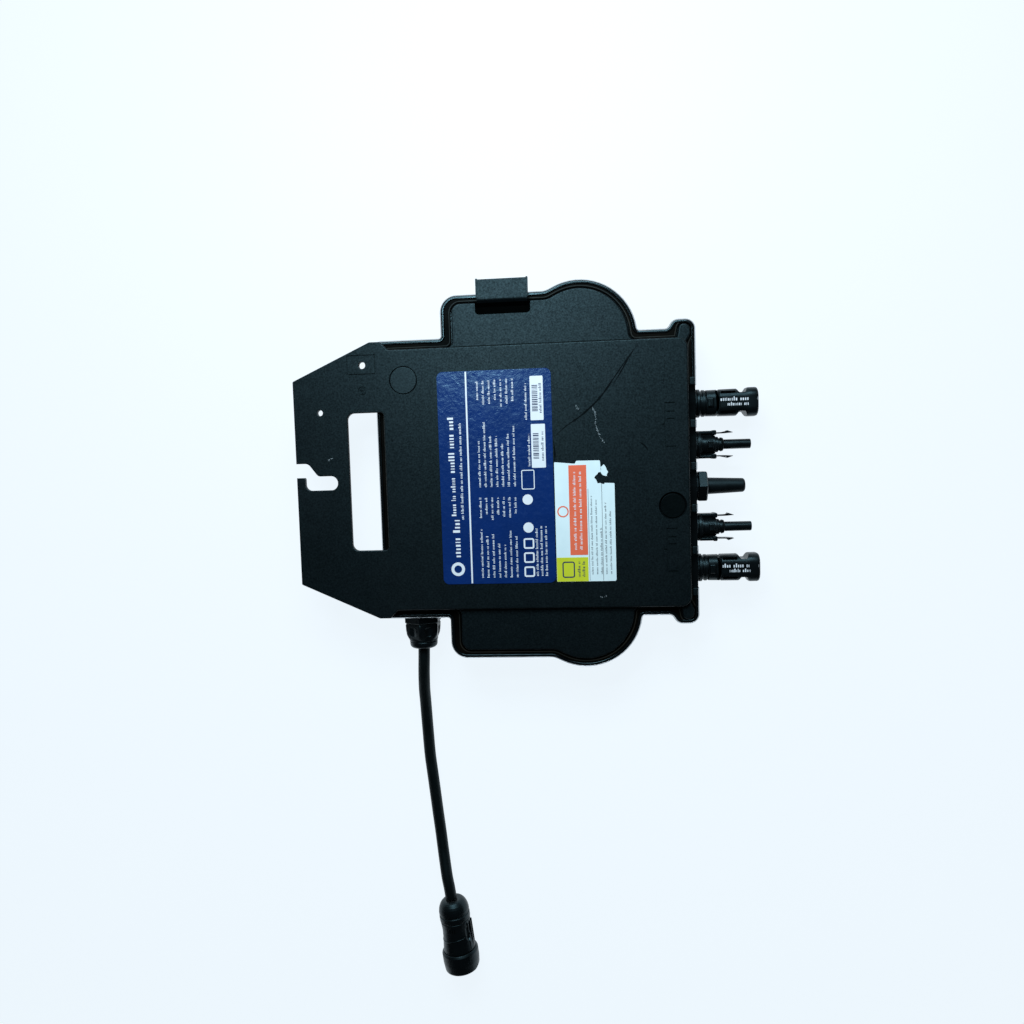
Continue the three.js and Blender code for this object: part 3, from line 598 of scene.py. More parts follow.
PLUG_PINS = [f"cord_plug_pin_{wire}" for wire in ("earth", "line", "neutral")]
NODE_MATERIALS = [
    (TINNED, [*numbered("dc_socket_pin"), *numbered("dc_plug_sleeve"), *PLUG_PINS]),
    (RUBBER, [*numbered("dc_socket_seal"), *numbered("dc_plug_seal"), "antenna_seal", "antenna_coax",
              "gland_seal"]),
    (NYLON, [*numbered("dc_socket_nut"), *numbered("dc_plug_nut"), "gland_locknut"]),
    (INSERT_GREY, ["cord_plug_insert"]),
    (BOARD, ["main_board", "control_board"]),
    (STEEL, numbered("board_screw", 4)),
    (FERRITE, numbered("transformer")),
    (SLEEVE, numbered("input_capacitor")),
    (FILM_CASE, ["film_capacitor"]),
    (RELAY_CASE, ["output_relay"]),
    (CHOKE_COAT, ["line_choke"]),
    (ALUMINIUM, ["heat_spreader"]),
]


def finish_nodes():
    for material, nodes in NODE_MATERIALS:
        for node in nodes:
            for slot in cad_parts[node].material_slots:
                slot.material = material


# ---------------------------------------------------------------- the cord
CORD_DIAMETER = 7
CORD_ROUTE = [
    (-65, -101.8, 16), (-65.3, -109, 15.9), (-66, -118, 14.3), (-66.8, -128, 11),
    (-67.1, -138, 7.6), (-67.2, -149, 5), (-66.9, -161, 3.8), (-66.3, -173, 3.6),
    (-65.1, -185, 3.6), (-63.9, -197, 3.6), (-62.7, -209, 3.7), (-61.4, -220, 4.3),
    (-60.1, -230, 5.8), (-58.7, -239, 8), (-57.2, -247.5, 10.4), (-55.8, -254, 11.6),
    (-54.94, -260.2, 11.8),
]


def smooth_path(points, steps=6):
    """Catmull-Rom points through a listed route."""
    places = [Vector(point) for point in points]
    places = [2 * places[0] - places[1], *places, 2 * places[-1] - places[-2]]
    path = []
    for a, b, c, d in zip(places, places[1:], places[2:], places[3:]):
        for k in range(steps):
            t = k / steps
            path.append(0.5 * (2 * b + (c - a) * t + (2 * a - 5 * b + 4 * c - d) * t ** 2
                               + (3 * b - a - 3 * c + d) * t ** 3))
    return [*path, places[-2]]


def make_cord(plug_pieces):
    data = bpy.data.curves.new("ac_lead", "CURVE")
    data.dimensions = "3D"
    data.bevel_depth = CORD_DIAMETER / 2 * MM
    data.bevel_resolution = 8
    data.use_fill_caps = True
    path = smooth_path(CORD_ROUTE)
    spline = data.splines.new("POLY")
    spline.points.add(len(path) - 1)
    for point, place in zip(spline.points, path):
        point.co = (*(place * MM), 1)
    spline.use_smooth = True
    data.materials.append(SHEATH)
    cord = add_object("ac_lead", data)
    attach(cord, CHASSIS)
    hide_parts("ac_cord")


# ---------------------------------------------------------------- tray, cover and seal
# Heights and outlines below are relative to the body's centre line.
BODY = at(0, BODY_Y, 0)
SHEET_LOW = TOP - 3
PANEL_LOW = COVER_LOW.z
PANEL_TOP = PANEL_LOW + 3
BULGE_SLOPE = math.radians(26)
BULGE_LEAN = math.radians(8)
BULGE_CENTRE = (32.5, 77)


def bulge(left, top, half, round_radius, radius, foot):
    """Upper corners, right to left, of a long flat bulge that ends in a round one."""
    bisector = (BULGE_LEAN + math.pi / 2 + BULGE_SLOPE) / 2
    reach = round_radius / math.cos(bisector - BULGE_LEAN)
    peak_x = BULGE_CENTRE[0] + reach * math.cos(bisector)
    peak_y = BULGE_CENTRE[1] + reach * math.sin(bisector)
    return [
        (peak_x + (peak_y - half) * math.tan(BULGE_LEAN), half, foot),
        (peak_x, peak_y, round_radius),
        (peak_x - (peak_y - top) / math.tan(BULGE_SLOPE), top, 10),
        (left, top, radius),
        (left, half, foot),
    ]


TRAY_HALF = 80.1
RAISED_HALF = 74.4
RAISED_LEFT = -78.7
tray_bulge = bulge(-45.7, 103.9, TRAY_HALF, 32.3, 9.5, 1.5)
tray_outline = mirrored([
    (WALL_X, 85.1, 5.5), (84.2, 85.1, 5), (81.2, TRAY_HALF, 3), *tray_bulge,
    (TRAY_LOW.x, TRAY_HALF, 4),
])
cavity_outline = mirrored([(WALL_X, TRAY_HALF, 4), *tray_bulge, (TRAY_LOW.x, TRAY_HALF, 4)])
panel_outline = mirrored([
    (91, 72, 1), (COVER_HIGH.x, 76.5, 1), (COVER_HIGH.x, 82.2, 3.5), (87.5, 82.2, 2.6),
    (86, RAISED_HALF, 1), *bulge(-39, 98.8, RAISED_HALF, 27.3, 5, 4), (RAISED_LEFT, RAISED_HALF, 3),
])
raised_outline = mirrored([(91, RAISED_HALF, 5.5), (RAISED_LEFT, RAISED_HALF, 5.5)])
cover_outline = mirrored([
    (91.5, RAISED_HALF, 5.5), (-75.4, RAISED_HALF, 1), (-79.9, 79, 1), (-86, 79, 2),
    (COVER_LOW.x, 58.5, 1),
])
slot_outline = [(-79, 39.4, 2.3), (-100.4, 39.4, 4), (-100.4, -39.4, 4), (-79, -39.4, 2.3)]
NOTCH_HALF = 4.05
notch_outline = [
    (COVER_LOW.x - 3, 3.4, 0), (-126.6, 3.4, 0.8), (-126.6, -NOTCH_HALF, 3.5),
    (-107.4, -NOTCH_HALF, NOTCH_HALF - 0.05), (-107.4, NOTCH_HALF, NOTCH_HALF - 0.05),
    (-118.9, NOTCH_HALF, 3), (-124.5, 11.5, 4), (COVER_LOW.x - 3, 11.5, 0),
]
WALL_PARTS = {"dc_socket_1": 6.3, "dc_plug_1": 6.3, "dc_plug_2": 6.3, "dc_socket_2": 6.3,
              "antenna_base": 4.3, "status_lens": 3.3}
GLAND = middle("gland_body")
GROOVES = {"count": 11, "pitch": 12, "length": 120, "width": 5, "depth": 1.2, "x": 6}
LIP = 2.4
LIP_TOP = 32
CONNECTOR_ROWS = [middle(node).y - BODY_Y for node in WALL_PARTS if node != "status_lens"]
CONNECTOR_PITCH = abs(CONNECTOR_ROWS[0] - CONNECTOR_ROWS[1])
SCOOP_HALF = 9.6
SCOOP_FLOOR = 27.4
LAND = {"length": 4.4, "left": -3.7, "right": -0.9}


def scoops():
    """Cutters that open the rim above each connector."""
    return [prism(rectangle(WALL_X - 4.7, y - SCOOP_HALF, WALL_X + 3, y + SCOOP_HALF, 1.6),
                  [(SCOOP_FLOOR, 0), (LIP_TOP - 0.8, 0), (LIP_TOP + 2, -0.6)]) for y in CONNECTOR_ROWS]


def make_lands():
    """The raised lands left on the rim between the connectors."""
    rows = sorted(CONNECTOR_ROWS)
    centres = [rows[0] - CONNECTOR_PITCH / 2, *[row + CONNECTOR_PITCH / 2 for row in rows]]
    for i, y in enumerate(centres):
        shape = rectangle(WALL_X + LAND["left"], y - LAND["length"] / 2, WALL_X + LAND["right"],
                          y + LAND["length"] / 2, 0.6)
        piece(f"rim_land_{i + 1}", prism(shape, edges(31, LIP_TOP + 0.6, 0.1, 0.5)), POWDER, BODY)


def make_tray():
    wall_bosses = [moved(rod(SCOOP_HALF - 0.1, -4.8, 0.25, 0.6), at(WALL_X, y, CONNECTOR_Z))
                   for y in CONNECTOR_ROWS]
    screws = [middle(node) for node in numbered("board_screw", 4)]
    screw_bosses = [standing(rod(4, 2.5, 7.7), screw.x, screw.y - BODY_Y) for screw in screws]
    cutters = [
        prism(inset(tray_outline, LIP), recess(29.7, LIP_TOP, 0.35)),
        prism(inset(cavity_outline, 2.6), edges(3, 26.3)),
        prism(inset(cavity_outline, 8.3), edges(20, 31)),
    ]
    for node, radius in WALL_PARTS.items():
        place = middle(node)
        cutters.append(moved(rod(radius, -12, 4), at(WALL_X, place.y - BODY_Y, place.z)))
    cutters.append(moved(rod(8.3, -6, 6), at(GLAND.x, -TRAY_HALF, GLAND.z) @ rotation(-90, "Z")))
    for k in range(GROOVES["count"]):
        y = (k - (GROOVES["count"] - 1) / 2) * GROOVES["pitch"]
        half_length, half_width = GROOVES["length"] / 2, GROOVES["width"] / 2
        shape = rectangle(GROOVES["x"] - half_length, y - half_width, GROOVES["x"] + half_length,
                          y + half_width, half_width - 0.01)
        cutters.append(prism(shape, [(-2, -0.4), (0, -0.4), (0.4, 0), (GROOVES["depth"], 0.3)]))
    side = [*edges(0, 8, 1.5, 0), (LIP_TOP - 1.6, 0), (LIP_TOP - 1.3, 0.12), (LIP_TOP - 0.4, 0.7),
            (LIP_TOP - 0.1, 1.1), (LIP_TOP, 1.6)]
    shell = carved(prism(tray_outline, side), cutters=scoops())
    hollow = carved(shell, joined=wall_bosses, cutters=cutters)
    piece("tray", carved(hollow, joined=screw_bosses), GLOSS, BODY, replaces="housing_tray")
    # A band of bright metal on the lip's rounded outer edge: painted reflection of the bright surroundings
    # on the black paint.
    edge = hoop(tray_outline, [(LIP_TOP - 1.27, 0.11), (LIP_TOP - 0.39, 0.68), (LIP_TOP - 0.5, 0.85),
                               (LIP_TOP - 1.4, 0.3)])
    piece("tray_painted_reflection", carved(edge, cutters=scoops()), PAINTED_REFLECTION, BODY)


def cover_side(point):
    """The sheet's edge is crisp on the flange, and wide and soft on the raised part."""
    raised = min(max((point.x - RAISED_LEFT + 0.8) / 6, 0), 1)
    return edges(SHEET_LOW, TOP, 0.35, 0.6 + 0.35 * raised)


ENGRAVED_LINE = 0.7
ENGRAVED_DEPTH = 0.6


def engraved(corners):
    return band(corners, ENGRAVED_LINE, TOP - ENGRAVED_DEPTH, TOP + 1)


def bracket(x0, y0, y1):
    """A three-armed bracket that marks a pair of connectors, as cutters for its lines."""
    line = ENGRAVED_LINE
    height = y1 - y0
    strokes = [(x0, y0, x0 + line, y1), (x0, y1 - line, x0 + 6, y1), (x0, y0, x0 + 6, y0 + line),
               (x0 - 1.6, y0 + height * 0.5, x0, y0 + height * 0.5 + line),
               (x0 + 1.2, y0 + height * 0.62, x0 + 5.4, y0 + height * 0.62 + line),
               (x0 + 1.2, y0 + height * 0.78, x0 + 5.4, y0 + height * 0.78 + line)]
    return [block(a, b, TOP - ENGRAVED_DEPTH, c, d, TOP + 1) for a, b, c, d in strokes]


def flange_mark():
    """The symbol engraved on the flange: a ring around three bars of falling width."""
    x, y = -90.8, 51.8
    bars = [block(x - half, y + step - 0.2, TOP - ENGRAVED_DEPTH, x + half, y + step + 0.2, TOP + 1)
            for half, step in ((1.4, 0.4), (0.9, -0.5), (0.5, -1.4))]
    return [engraved(circle(x, y, 2.6)), *bars]


def port_cutters():
    """Recesses for the two port plugs, and the holes for their stems."""
    fill, vent = middle("fill_port_plug"), middle("vent_port_plug")
    flush = recess(TOP - 1.5, TOP, 0.2)
    sunk = [(TOP - 2, 0.7), (TOP - 1, 0.7), (TOP - 0.1, 0), (TOP + 1, 0)]
    cutters = []
    for port, radius, side in ((fill, 7.9, flush), (vent, 7.8, sunk)):
        x, y = port.x, port.y - BODY_Y
        cutters.append(prism(circle(x, y, radius), side))
        cutters.append(prism(circle(x, y, 5), [(PANEL_LOW - 1, 0), (TOP - 1, 0)]))
    return cutters


def make_cover():
    hook_low, hook_high = span("edge_hook")
    fillet = prism(raised_outline, [(PANEL_TOP - 0.5, -0.3), *edges(PANEL_TOP, TOP - 1.5, -0.3, 0)])
    joined = [
        prism(inset(raised_outline, 0.02), edges(PANEL_LOW, TOP - 1.5, 0.3, 0)),
        prism(panel_outline, edges(PANEL_LOW, PANEL_TOP, 0.3, 0.95)),
        carved(fillet, within=prism(inset(panel_outline, 0.05), [(PANEL_LOW, 0), (TOP, 0)])),
    ]
    cutters = [
        prism(inset(raised_outline, 3.4), [(PANEL_LOW - 1, 0), (SHEET_LOW - 0.05, 0)]),
        prism(slot_outline, opening(SHEET_LOW, TOP, 0.5)),
        prism(notch_outline, opening(SHEET_LOW, TOP, 0.4)),
        prism(circle(-116.1, 40.2, 1.7), opening(SHEET_LOW, TOP, 0.2)),
        prism(circle(-90.6, 66.2, 2), opening(SHEET_LOW, TOP, 0.2)),
        prism(rectangle(hook_low.x - 1, 92, hook_high.x + 1, 101, 2.2), recess(31.5, TOP, 0.6)),
        engraved(rectangle(-99.2, 60.8, -82.4, 72.1, 0.4)),
        *flange_mark(),
        *bracket(78.2, 14.6, 39.2),
        *bracket(78.2, -54.7, -30.1),
        *port_cutters(),
    ]
    sheet = prism(cover_outline, cover_side, spacing=6)
    piece("cover", carved(sheet, joined=joined, cutters=cutters), POWDER, BODY, replaces="back_cover")


def make_ports():
    for node, material in (("fill_port_plug", CAP_COAT), ("vent_port_plug", VENT_BLACK)):
        low, high = span(node)
        radius = (high.x - low.x) / 2
        cap = spun([(low.z, 0, 0), (low.z, 4.7, 0.3), (high.z - 1.2, 4.7, 0.2),
                    (high.z - 1.2, radius, 0.2), (high.z, radius, 0.35), (high.z, 0, 0)], 64)
        piece(node + "_cap", standing(cap, middle(node).x, middle(node).y), material, replaces=node)


def make_seal():
    low, high = span("perimeter_seal")
    bead = prism(inset(tray_outline, LIP + 0.05), edges(low.z, high.z, 0.1, 0.3))
    inside = prism(inset(panel_outline, -0.75), [(low.z - 1, 0), (high.z + 1, 0)])
    piece("seal_bead", carved(bead, cutters=[inside, *scoops()]), SEALANT, BODY, replaces="perimeter_seal")
    lip = hoop(inset(panel_outline, -1.05), [(high.z - 0.3, 0), (high.z + 0.25, -0.1),
                                             (high.z + 0.25, -0.5), (high.z - 0.3, -0.6)])
    piece("seal_lip", carved(lip, cutters=scoops()), SEAL_LIP, BODY)


def make_step_shadow_line():
    """A thin near-black strip at the foot of the step around the raised plate: painted shadow where the
    step shades the panel.
    """
    foot, top = PANEL_TOP - 0.3, PANEL_TOP + 1.2
    section = [(foot, -0.55), (PANEL_TOP + 0.08, -0.55), (top, -0.02), (top, 0.3), (foot, 0.3)]
    panel = prism(inset(panel_outline, 1.1), [(PANEL_TOP - 1, 0), (TOP, 0)])
    piece("step_shadow_line", carved(hoop(raised_outline, section), within=panel), PAINTED_SHADE, BODY)


def make_hook():
    low, high = span("edge_hook")
    bend = high.y - 11.8
    end = high.y - 0.5
    root = low.y - 0.5
    tab = outline([
        (bend - 0.6, TOP - 2.1, 1.0), (end, TOP - 2.1, 0.4), (end, TOP - 0.1, 0.4),
        (bend, TOP - 0.1, 1.8), (bend - 3, low.z + 1.4, 0.8), (bend - 3.4, low.z, 0.3),
    ])
    lip = outline([(bend + 1, TOP - 2, 0.4), (high.y, low.z + 0.8, 0.6), (high.y, TOP, 0.7),
                   (bend + 0.6, TOP, 0.4)])
    foot = outline([
        (root, low.z - 0.9, 0.2), (bend - 1.0, low.z - 0.9, 0.3), (bend - 1.0, TOP - 1.0, 0.4),
        (bend - 3.6, low.z + 1.2, 0.8), (root, low.z + 0.9, 0.4),
    ])
    across = Matrix(((0, 0, 1, 0), (1, 0, 0, 0), (0, 1, 0, 0), (0, 0, 0, 1)))
    strip = moved(sideways(tab, low.x + 0.4, high.x - 0.4), across)
    lips = [moved(sideways(lip, x, x + 1), across) for x in (low.x, high.x - 1)]
    piece("hook", carved(strip, joined=lips), POWDER, replaces="edge_hook")
    # The foot and the bend of the hook are near-black: painted shade for the dark pocket the hook rises
    # out of.
    piece("hook_foot_shade", moved(sideways(foot, low.x - 0.9, high.x + 0.9), across), PAINTED_SHADE,
          replaces="edge_hook")


def sideways(points, low, high):
    """A solid along Z over ready-made outline points, with thinly chamfered ends."""
    middle_point = sum(points, Vector((0, 0))) / len(points)
    rings = []
    for height, shrink in ((low, 0.97), (low + 0.12, 1), (high - 0.12, 1), (high, 0.97)):
        ring = [middle_point + (point - middle_point) * shrink for point in points]
        rings.append([(point.x, point.y, height) for point in ring])
    return loft(rings)


# ---------------------------------------------------------------- labels and wear
LABEL_LOW, LABEL_HIGH = span("rating_label")
NOTICE_LOW, NOTICE_HIGH = span("notice_label")
FILM_LOW = TOP + 0.02
FILM_TOP = LABEL_HIGH.z - 0.12
INK_TOP = LABEL_HIGH.z - 0.06
OVERPRINT_TOP = LABEL_HIGH.z - 0.02
WEAR_LOW = TOP - 0.1
WEAR_TOP = TOP + 0.015


def sheet_piece(name, corners, low, high, material, place=Matrix(), replaces=None, cutters=()):
    bm = prism(corners, edges(low, high, 0.01, min(0.06, (high - low) / 2)))
    piece(name, carved(bm, cutters=cutters) if cutters else bm, material, place, replaces=replaces)


def marks(name, boxes, low, high, material, place=Matrix()):
    """Many small printed blocks as one piece; a box is (x0, y0, x1, y1)."""
    bm = bmesh.new()
    for x0, y0, x1, y1 in boxes:
        lower = [bm.verts.new((x, y, low)) for x, y in ((x0, y0), (x1, y0), (x1, y1), (x0, y1))]
        upper = [bm.verts.new((v.co.x, v.co.y, high)) for v in lower]
        bridge(bm, [lower, upper])
        bm.faces.new(lower)
        bm.faces.new(upper)
    piece(name, bm, material, place)


def line_of_type(x, start, end, size):
    """Blocks that stand for a line of small print, which runs along +Y from start to end."""
    boxes = []
    y = start
    while y < end:
        for _ in range(random.randint(3, 9)):
            width = size * random.uniform(0.12, 0.36)
            height = size * random.choice((0.62, 0.66, 0.7, 1.0))
            boxes.append((x - height, y, x, min(y + width, end)))
            y += width + size * 0.26
            if y >= end:
                break
        y += size * 0.55
    return boxes


def bar_pattern(x0, y0, x1, y1):
    boxes = []
    y = y0
    while y < y1:
        width = random.uniform(0.2, 0.75)
        boxes.append((x0, y, x1, min(y + width, y1)))
        y += width + random.uniform(0.25, 0.6)
    return boxes


SMALL_PRINT = 1.35
THROUGH_FILM = [(TOP - 1, 0), (TOP + 2, 0)]


def make_rating_label():
    """Places on the label are measured from its lower left corner."""
    place = at(LABEL_LOW.x, LABEL_LOW.y, 0)
    width, length = LABEL_HIGH.x - LABEL_LOW.x, LABEL_HIGH.y - LABEL_LOW.y
    sheet_piece("label_film", rectangle(0, 0, width, length, 3.4), FILM_LOW, FILM_TOP, FILM, place,
                "rating_label")
    boxes = [(16, 0.4, 16.9, length - 0.4)]
    for x, start, end, size in ((8.6, 39, 61, 2.6), (8.6, 63.5, 95, 3.4), (12.9, 37, 92, 1.5)):
        boxes += line_of_type(x, start, end, size)
    for k in range(7):
        x = 23.2 + 3.3 * k
        boxes += line_of_type(x, 3.5, random.uniform(20, 31), SMALL_PRINT)
        boxes += line_of_type(x, random.uniform(36, 41), 49, SMALL_PRINT)
        boxes += line_of_type(x, 55, random.uniform(76, 94), SMALL_PRINT)
        boxes += line_of_type(x, random.uniform(99, 104), 115, SMALL_PRINT)
    for k in range(3):
        boxes += line_of_type(54.5 + 2.6 * k, 4, random.uniform(26, 34), 1.4)
    boxes += line_of_type(51.5, 66, 84, 1.3)
    boxes += line_of_type(50.3, 92, 112, 1.3)
    marks("label_print", boxes, FILM_TOP, INK_TOP, WHITE_INK, place)
    for i, (x0, y0, x1, y1) in enumerate(((52.3, 65, 60.2, 89.4), (52.3, 91.5, 59.6, 116))):
        sheet_piece(f"label_code_panel_{i + 1}", rectangle(x0, y0, x1, y1, 0.5), FILM_TOP, INK_TOP,
                    WHITE_INK, place)
        boxes = bar_pattern(x0 + 1.0, y0 + 5, x0 + 4.2, y1 - 5)
        boxes += line_of_type(x1 - 1.0, y0 + 4, y1 - 4, 1.5)
        marks(f"label_code_bars_{i + 1}", boxes, INK_TOP, OVERPRINT_TOP, BLUE_INK, place)
    frame_line = band(rectangle(46.2, 53, 53.6, 64, 1), 0.5, FILM_TOP, INK_TOP)
    piece("label_frame", frame_line, WHITE_INK, place)
    for i, y in enumerate((6.5, 14.5, 22.5)):
        square = band(rectangle(46.4, y - 3, 52.4, y + 3, 1.2), 0.9, FILM_TOP, INK_TOP)
        piece(f"label_square_{i + 1}", square, WHITE_INK, place)
    for i, y in enumerate((31.5, 47.3)):
        sheet_piece(f"label_disc_{i + 1}", circle(49.4, y, 2.9), FILM_TOP, INK_TOP, WHITE_INK, place)
    hole = prism(circle(8.6, 8.6, 2.2), THROUGH_FILM)
    sheet_piece("label_emblem", circle(8.6, 8.6, 3.9), FILM_TOP, INK_TOP, WHITE_INK, place,
                cutters=[hole])
    marks("label_name", line_of_type(10.4, 15.5, 37, 4.0), FILM_TOP, INK_TOP, WHITE_INK, place)


def torn(corners, size, step=1.1):
    """Breaks an outline into short uneven steps, as torn paper has."""
    points = []
    places = [Vector(corner) for corner in corners]
    for i, place in enumerate(places):
        after = places[(i + 1) % len(places)]
        steps = max(1, round((after - place).length / step))
        for k in range(steps):
            point = place.lerp(after, k / steps)
            jitter = (random.uniform(-size, size), random.uniform(-size, size))
            points.append((point.x + jitter[0], point.y + jitter[1], 0.15))
    return points


def make_notice():
    """Places on the notice are measured from its lower left corner."""
    place = at(NOTICE_LOW.x, NOTICE_LOW.y, 0)
    right, top = NOTICE_HIGH.x - NOTICE_LOW.x, NOTICE_HIGH.y - NOTICE_LOW.y
    corners = [
        (right, top - 13, 0.5), (right - 7, top - 12.6, 0.3), (right - 7.8, top - 0.1, 0.6),
        (right - 21, top, 0.4), (right - 21.8, top - 1.6, 0.5), (0, top - 0.4, 0.5), (0, 0, 0.5),
        (right, 0, 1),
    ]
    hole = torn([(right - 7.2 + 3.7 * math.cos(a), top - 9.8 + 3.7 * math.sin(a))
                 for a in [math.pi / 3 * k for k in range(6)]], 0.35)
    sheet_piece("notice_paper", corners, FILM_LOW, FILM_TOP, WHITE_PAPER, place, "notice_label",
                [prism(hole, THROUGH_FILM)])
    flap = torn([(right - 7, top - 8), (right - 4.2, top - 9), (right - 3.6, top - 6.6),
                 (right - 5.6, top - 2.2), (right - 7.6, top - 4)], 0.25)
    sheet_piece("notice_flap", flap, FILM_LOW, NOTICE_HIGH.z - 0.05, WHITE_PAPER, place)
    for name, shape, paper_color in (("red", rectangle(7.9, 15, 17.8, top - 2.4, 0.2), RED_PAPER),
                                     ("yellow", rectangle(0.1, 0.1, 17.8, 13.7, 0.2), YELLOW_PAPER)):
        sheet_piece(f"notice_{name}", shape, FILM_TOP, INK_TOP, paper_color, place)
    piece("notice_ring", band(circle(4.3, 39.6, 3.2), 0.7, FILM_TOP, INK_TOP), RED_PAPER, place)
    frame_line = band(rectangle(3.2, 2.2, 10.2, 11.4, 1.4), 0.7, INK_TOP, OVERPRINT_TOP)
    piece("notice_frame", frame_line, BLUE_INK, place)
    boxes = line_of_type(11.6, 18, top - 6, 1.5) + line_of_type(14.8, 18, top - 6, 1.5)
    marks("notice_red_print", boxes, INK_TOP, OVERPRINT_TOP, WHITE_INK, place)
    boxes = line_of_type(13.3, 2.6, 11.6, 1.6) + line_of_type(15.9, 2.6, 11.6, 1.6)
    marks("notice_yellow_print", boxes, INK_TOP, OVERPRINT_TOP, BLUE_INK, place)
    boxes = [(18.4, 0.4, 18.65, 52), (26.0, 0.4, 26.25, 55)]
    for k, end in enumerate((48, 46, 30, 44, 40)):
        boxes += line_of_type(20.6 + 2.6 * k, 4, end, 1.1)
    marks("notice_print", boxes, FILM_TOP, INK_TOP, GREY_INK, place)


def ribbon(points, width):
    """A flat worn stroke along a path, thin at its ends."""
    path = smooth_path([(x, y, 0) for x, y in points], 5)
    bm = bmesh.new()
    loops = []
    for i, place in enumerate(path):
        along = (path[min(i + 1, len(path) - 1)] - path[max(i - 1, 0)]).normalized()
        reach = width / 2 * math.sin(math.pi * (i + 0.3) / (len(path) - 0.4)) * random.uniform(0.5, 1.2)
        side = Vector((-along.y, along.x, 0)) * max(reach, 0.03)
        loops.append([bm.verts.new((*(place + side * s).to_2d(), z))
                      for s, z in ((-1, WEAR_LOW), (-1, WEAR_TOP), (1, WEAR_TOP), (1, WEAR_LOW))])
    bridge(bm, loops)
    bm.faces.new(loops[0])
    bm.faces.new(loops[-1])
    return bm


def specks(points, spread, count):
    """Boxes of worn-off specks, scattered along a path."""
    path = smooth_path([(x, y, 0) for x, y in points], 8)
    boxes = []
    for _ in range(count):
        place = random.choice(path)
        x, y = place.x + random.gauss(0, spread), place.y + random.gauss(0, spread)
        width, length = random.uniform(0.15, 0.5), random.uniform(0.15, 0.6)
        boxes.append((x, y, x + width, y + length))
    return boxes


def make_wear():
    strokes = {
        "scuff_long": ([(17, 21), (24, 27), (33, 33), (43, 42), (52, 54), (62, 68)], 1.3),
        "scuff_twin": ([(50, 48), (55, 56), (59, 63), (64, 70)], 0.9),
        "scuff_low": ([(16.8, 20), (17.4, 12), (17, 6)], 1.0),
        "scuff_smudge": ([(64, 17), (67, 15), (69, 12)], 0.9),
    }
    for name, (points, width) in strokes.items():
        piece(name, ribbon(points, width), SCUFF)
    scatters = {
        "scuff_chain": ([(77.5, 44), (78, 52), (78.6, 60), (78.4, 67), (77.6, 74)], 0.5, 46, SCUFF),
        "scuff_beside_slot": ([(-76, 30), (-75.6, 6), (-76, -28)], 0.7, 26, SCUFF),
        "chalk_long": ([(38.6, 37), (40.2, 33), (40.4, 27), (42, 22), (44.5, 17)], 0.22, 60, CHALK),
        "chalk_spot": ([(29.5, 37.6), (31, 36.2)], 0.3, 12, CHALK),
        "chalk_flange": ([(-112.5, 12.0), (-110, 13.2)], 0.2, 7, CHALK),
        "chalk_low": ([(41, -69.3), (44, -69.0)], 0.2, 7, CHALK),
    }
    for name, (points, spread, count, material) in scatters.items():
        marks(name, specks(points, spread, count), WEAR_LOW, WEAR_TOP, material)


# ---------------------------------------------------------------- wall parts
PORT = [(-8, 0, 0), (-8, 6, 0.3), (1.4, 6, 0), (1.4, 8, 0.35), (3.2, 8, 0.4)]
SOCKET_END = span("dc_socket_1")[1].x - WALL_X


def on_wall(node):
    place = middle(node)
    return at(WALL_X, place.y, place.z)


def socket_solid():
    collar = spun([*PORT, (3.2, 7.0, 0.3), (4.4, 7.0, 0.2), (4.4, 7.6, 0.25), (6.0, 7.6, 0.3),
                   (6.0, 6.6, 0.2), (7.2, 6.6, 0), (7.2, 0, 0)])
    sleeve = sections([
        (6.4, 6.9, 6.4, 5.2), (6.8, 7.3, 6.8, 5.4), (12.4, 7.4, 6.8, 5.4), (12.8, 7.0, 6.4, 5.2),
        (13.3, 7.0, 6.4, 5.2), (13.8, 7.5, 7.1, 5.2), (28, 7.6, 7.1, 5.2), (30, 8.1, 7.3, 5.2),
        (SOCKET_END - 1.2, 8.1, 7.3, 5.2), (SOCKET_END - 0.4, 7.8, 7.0, 5.0),
        (SOCKET_END, 7.2, 6.4, 4.6),
    ])
    key = prism(rectangle(7.0, -2.7, 10.6, 2.7, 0.8), edges(5, 7.9, 0.1, 0.9))
    chevron = [(11.2, -6.6, 0.2), (12.3, -6.6, 0.2), (14.2, -2.6, 0.8), (14.2, 2.6, 0.8),
               (12.3, 6.6, 0.2), (11.2, 6.6, 0.2), (13.1, 2.6, 0.8), (13.1, -2.6, 0.8)]
    cutters = [rod(3.6, 13, SOCKET_END + 1, 0.1),
               turned([(SOCKET_END - 0.6, 0), (SOCKET_END - 0.6, 3.5), (SOCKET_END + 0.3, 4.5),
                       (SOCKET_END + 0.3, 0)])]
    for side in (-1, 1):
        low, high = sorted((side * 4.8, side * 6.3))
        slit = rectangle(14.4, low, 22.6, high, 0.4)
        cutters += [prism(slit, [(1.5, 0), (9, 0)]), prism(slit, [(-9, 0), (-1.5, 0)])]
        notch = [(29.8, side * 9), (28.0, side * 5.2), (24.6, side * 5.2), (22.4, side * 9)]
        corners = [(x, y, 0.9) for x, y in (notch if side > 0 else reversed(notch))]
        cutters.append(prism(corners, edges(-9, 9)))
    return carved(collar, joined=[sleeve, key, prism(chevron, edges(4, 7.35, 0.1, 0.3))],
                  cutters=cutters)


def make_socket(i, solid):
    node = f"dc_socket_{i}"
    place = on_wall(node)
    piece(f"socket_{i}", solid.copy(), NYLON, place, replaces=node)
    boxes = []
    for x0, x1, y, size in ((14.0, 34.6, 2.8, 2.2), (18.0, 31.0, -0.2, 1.9)):
        for start, y0, end, y1 in line_of_type(-y, x0, x1, size):
            boxes.append((y0, -end - size, y1, -start - size))
    marks(f"socket_{i}_print", boxes, 7.1, 7.24, WHITE_INK, place)


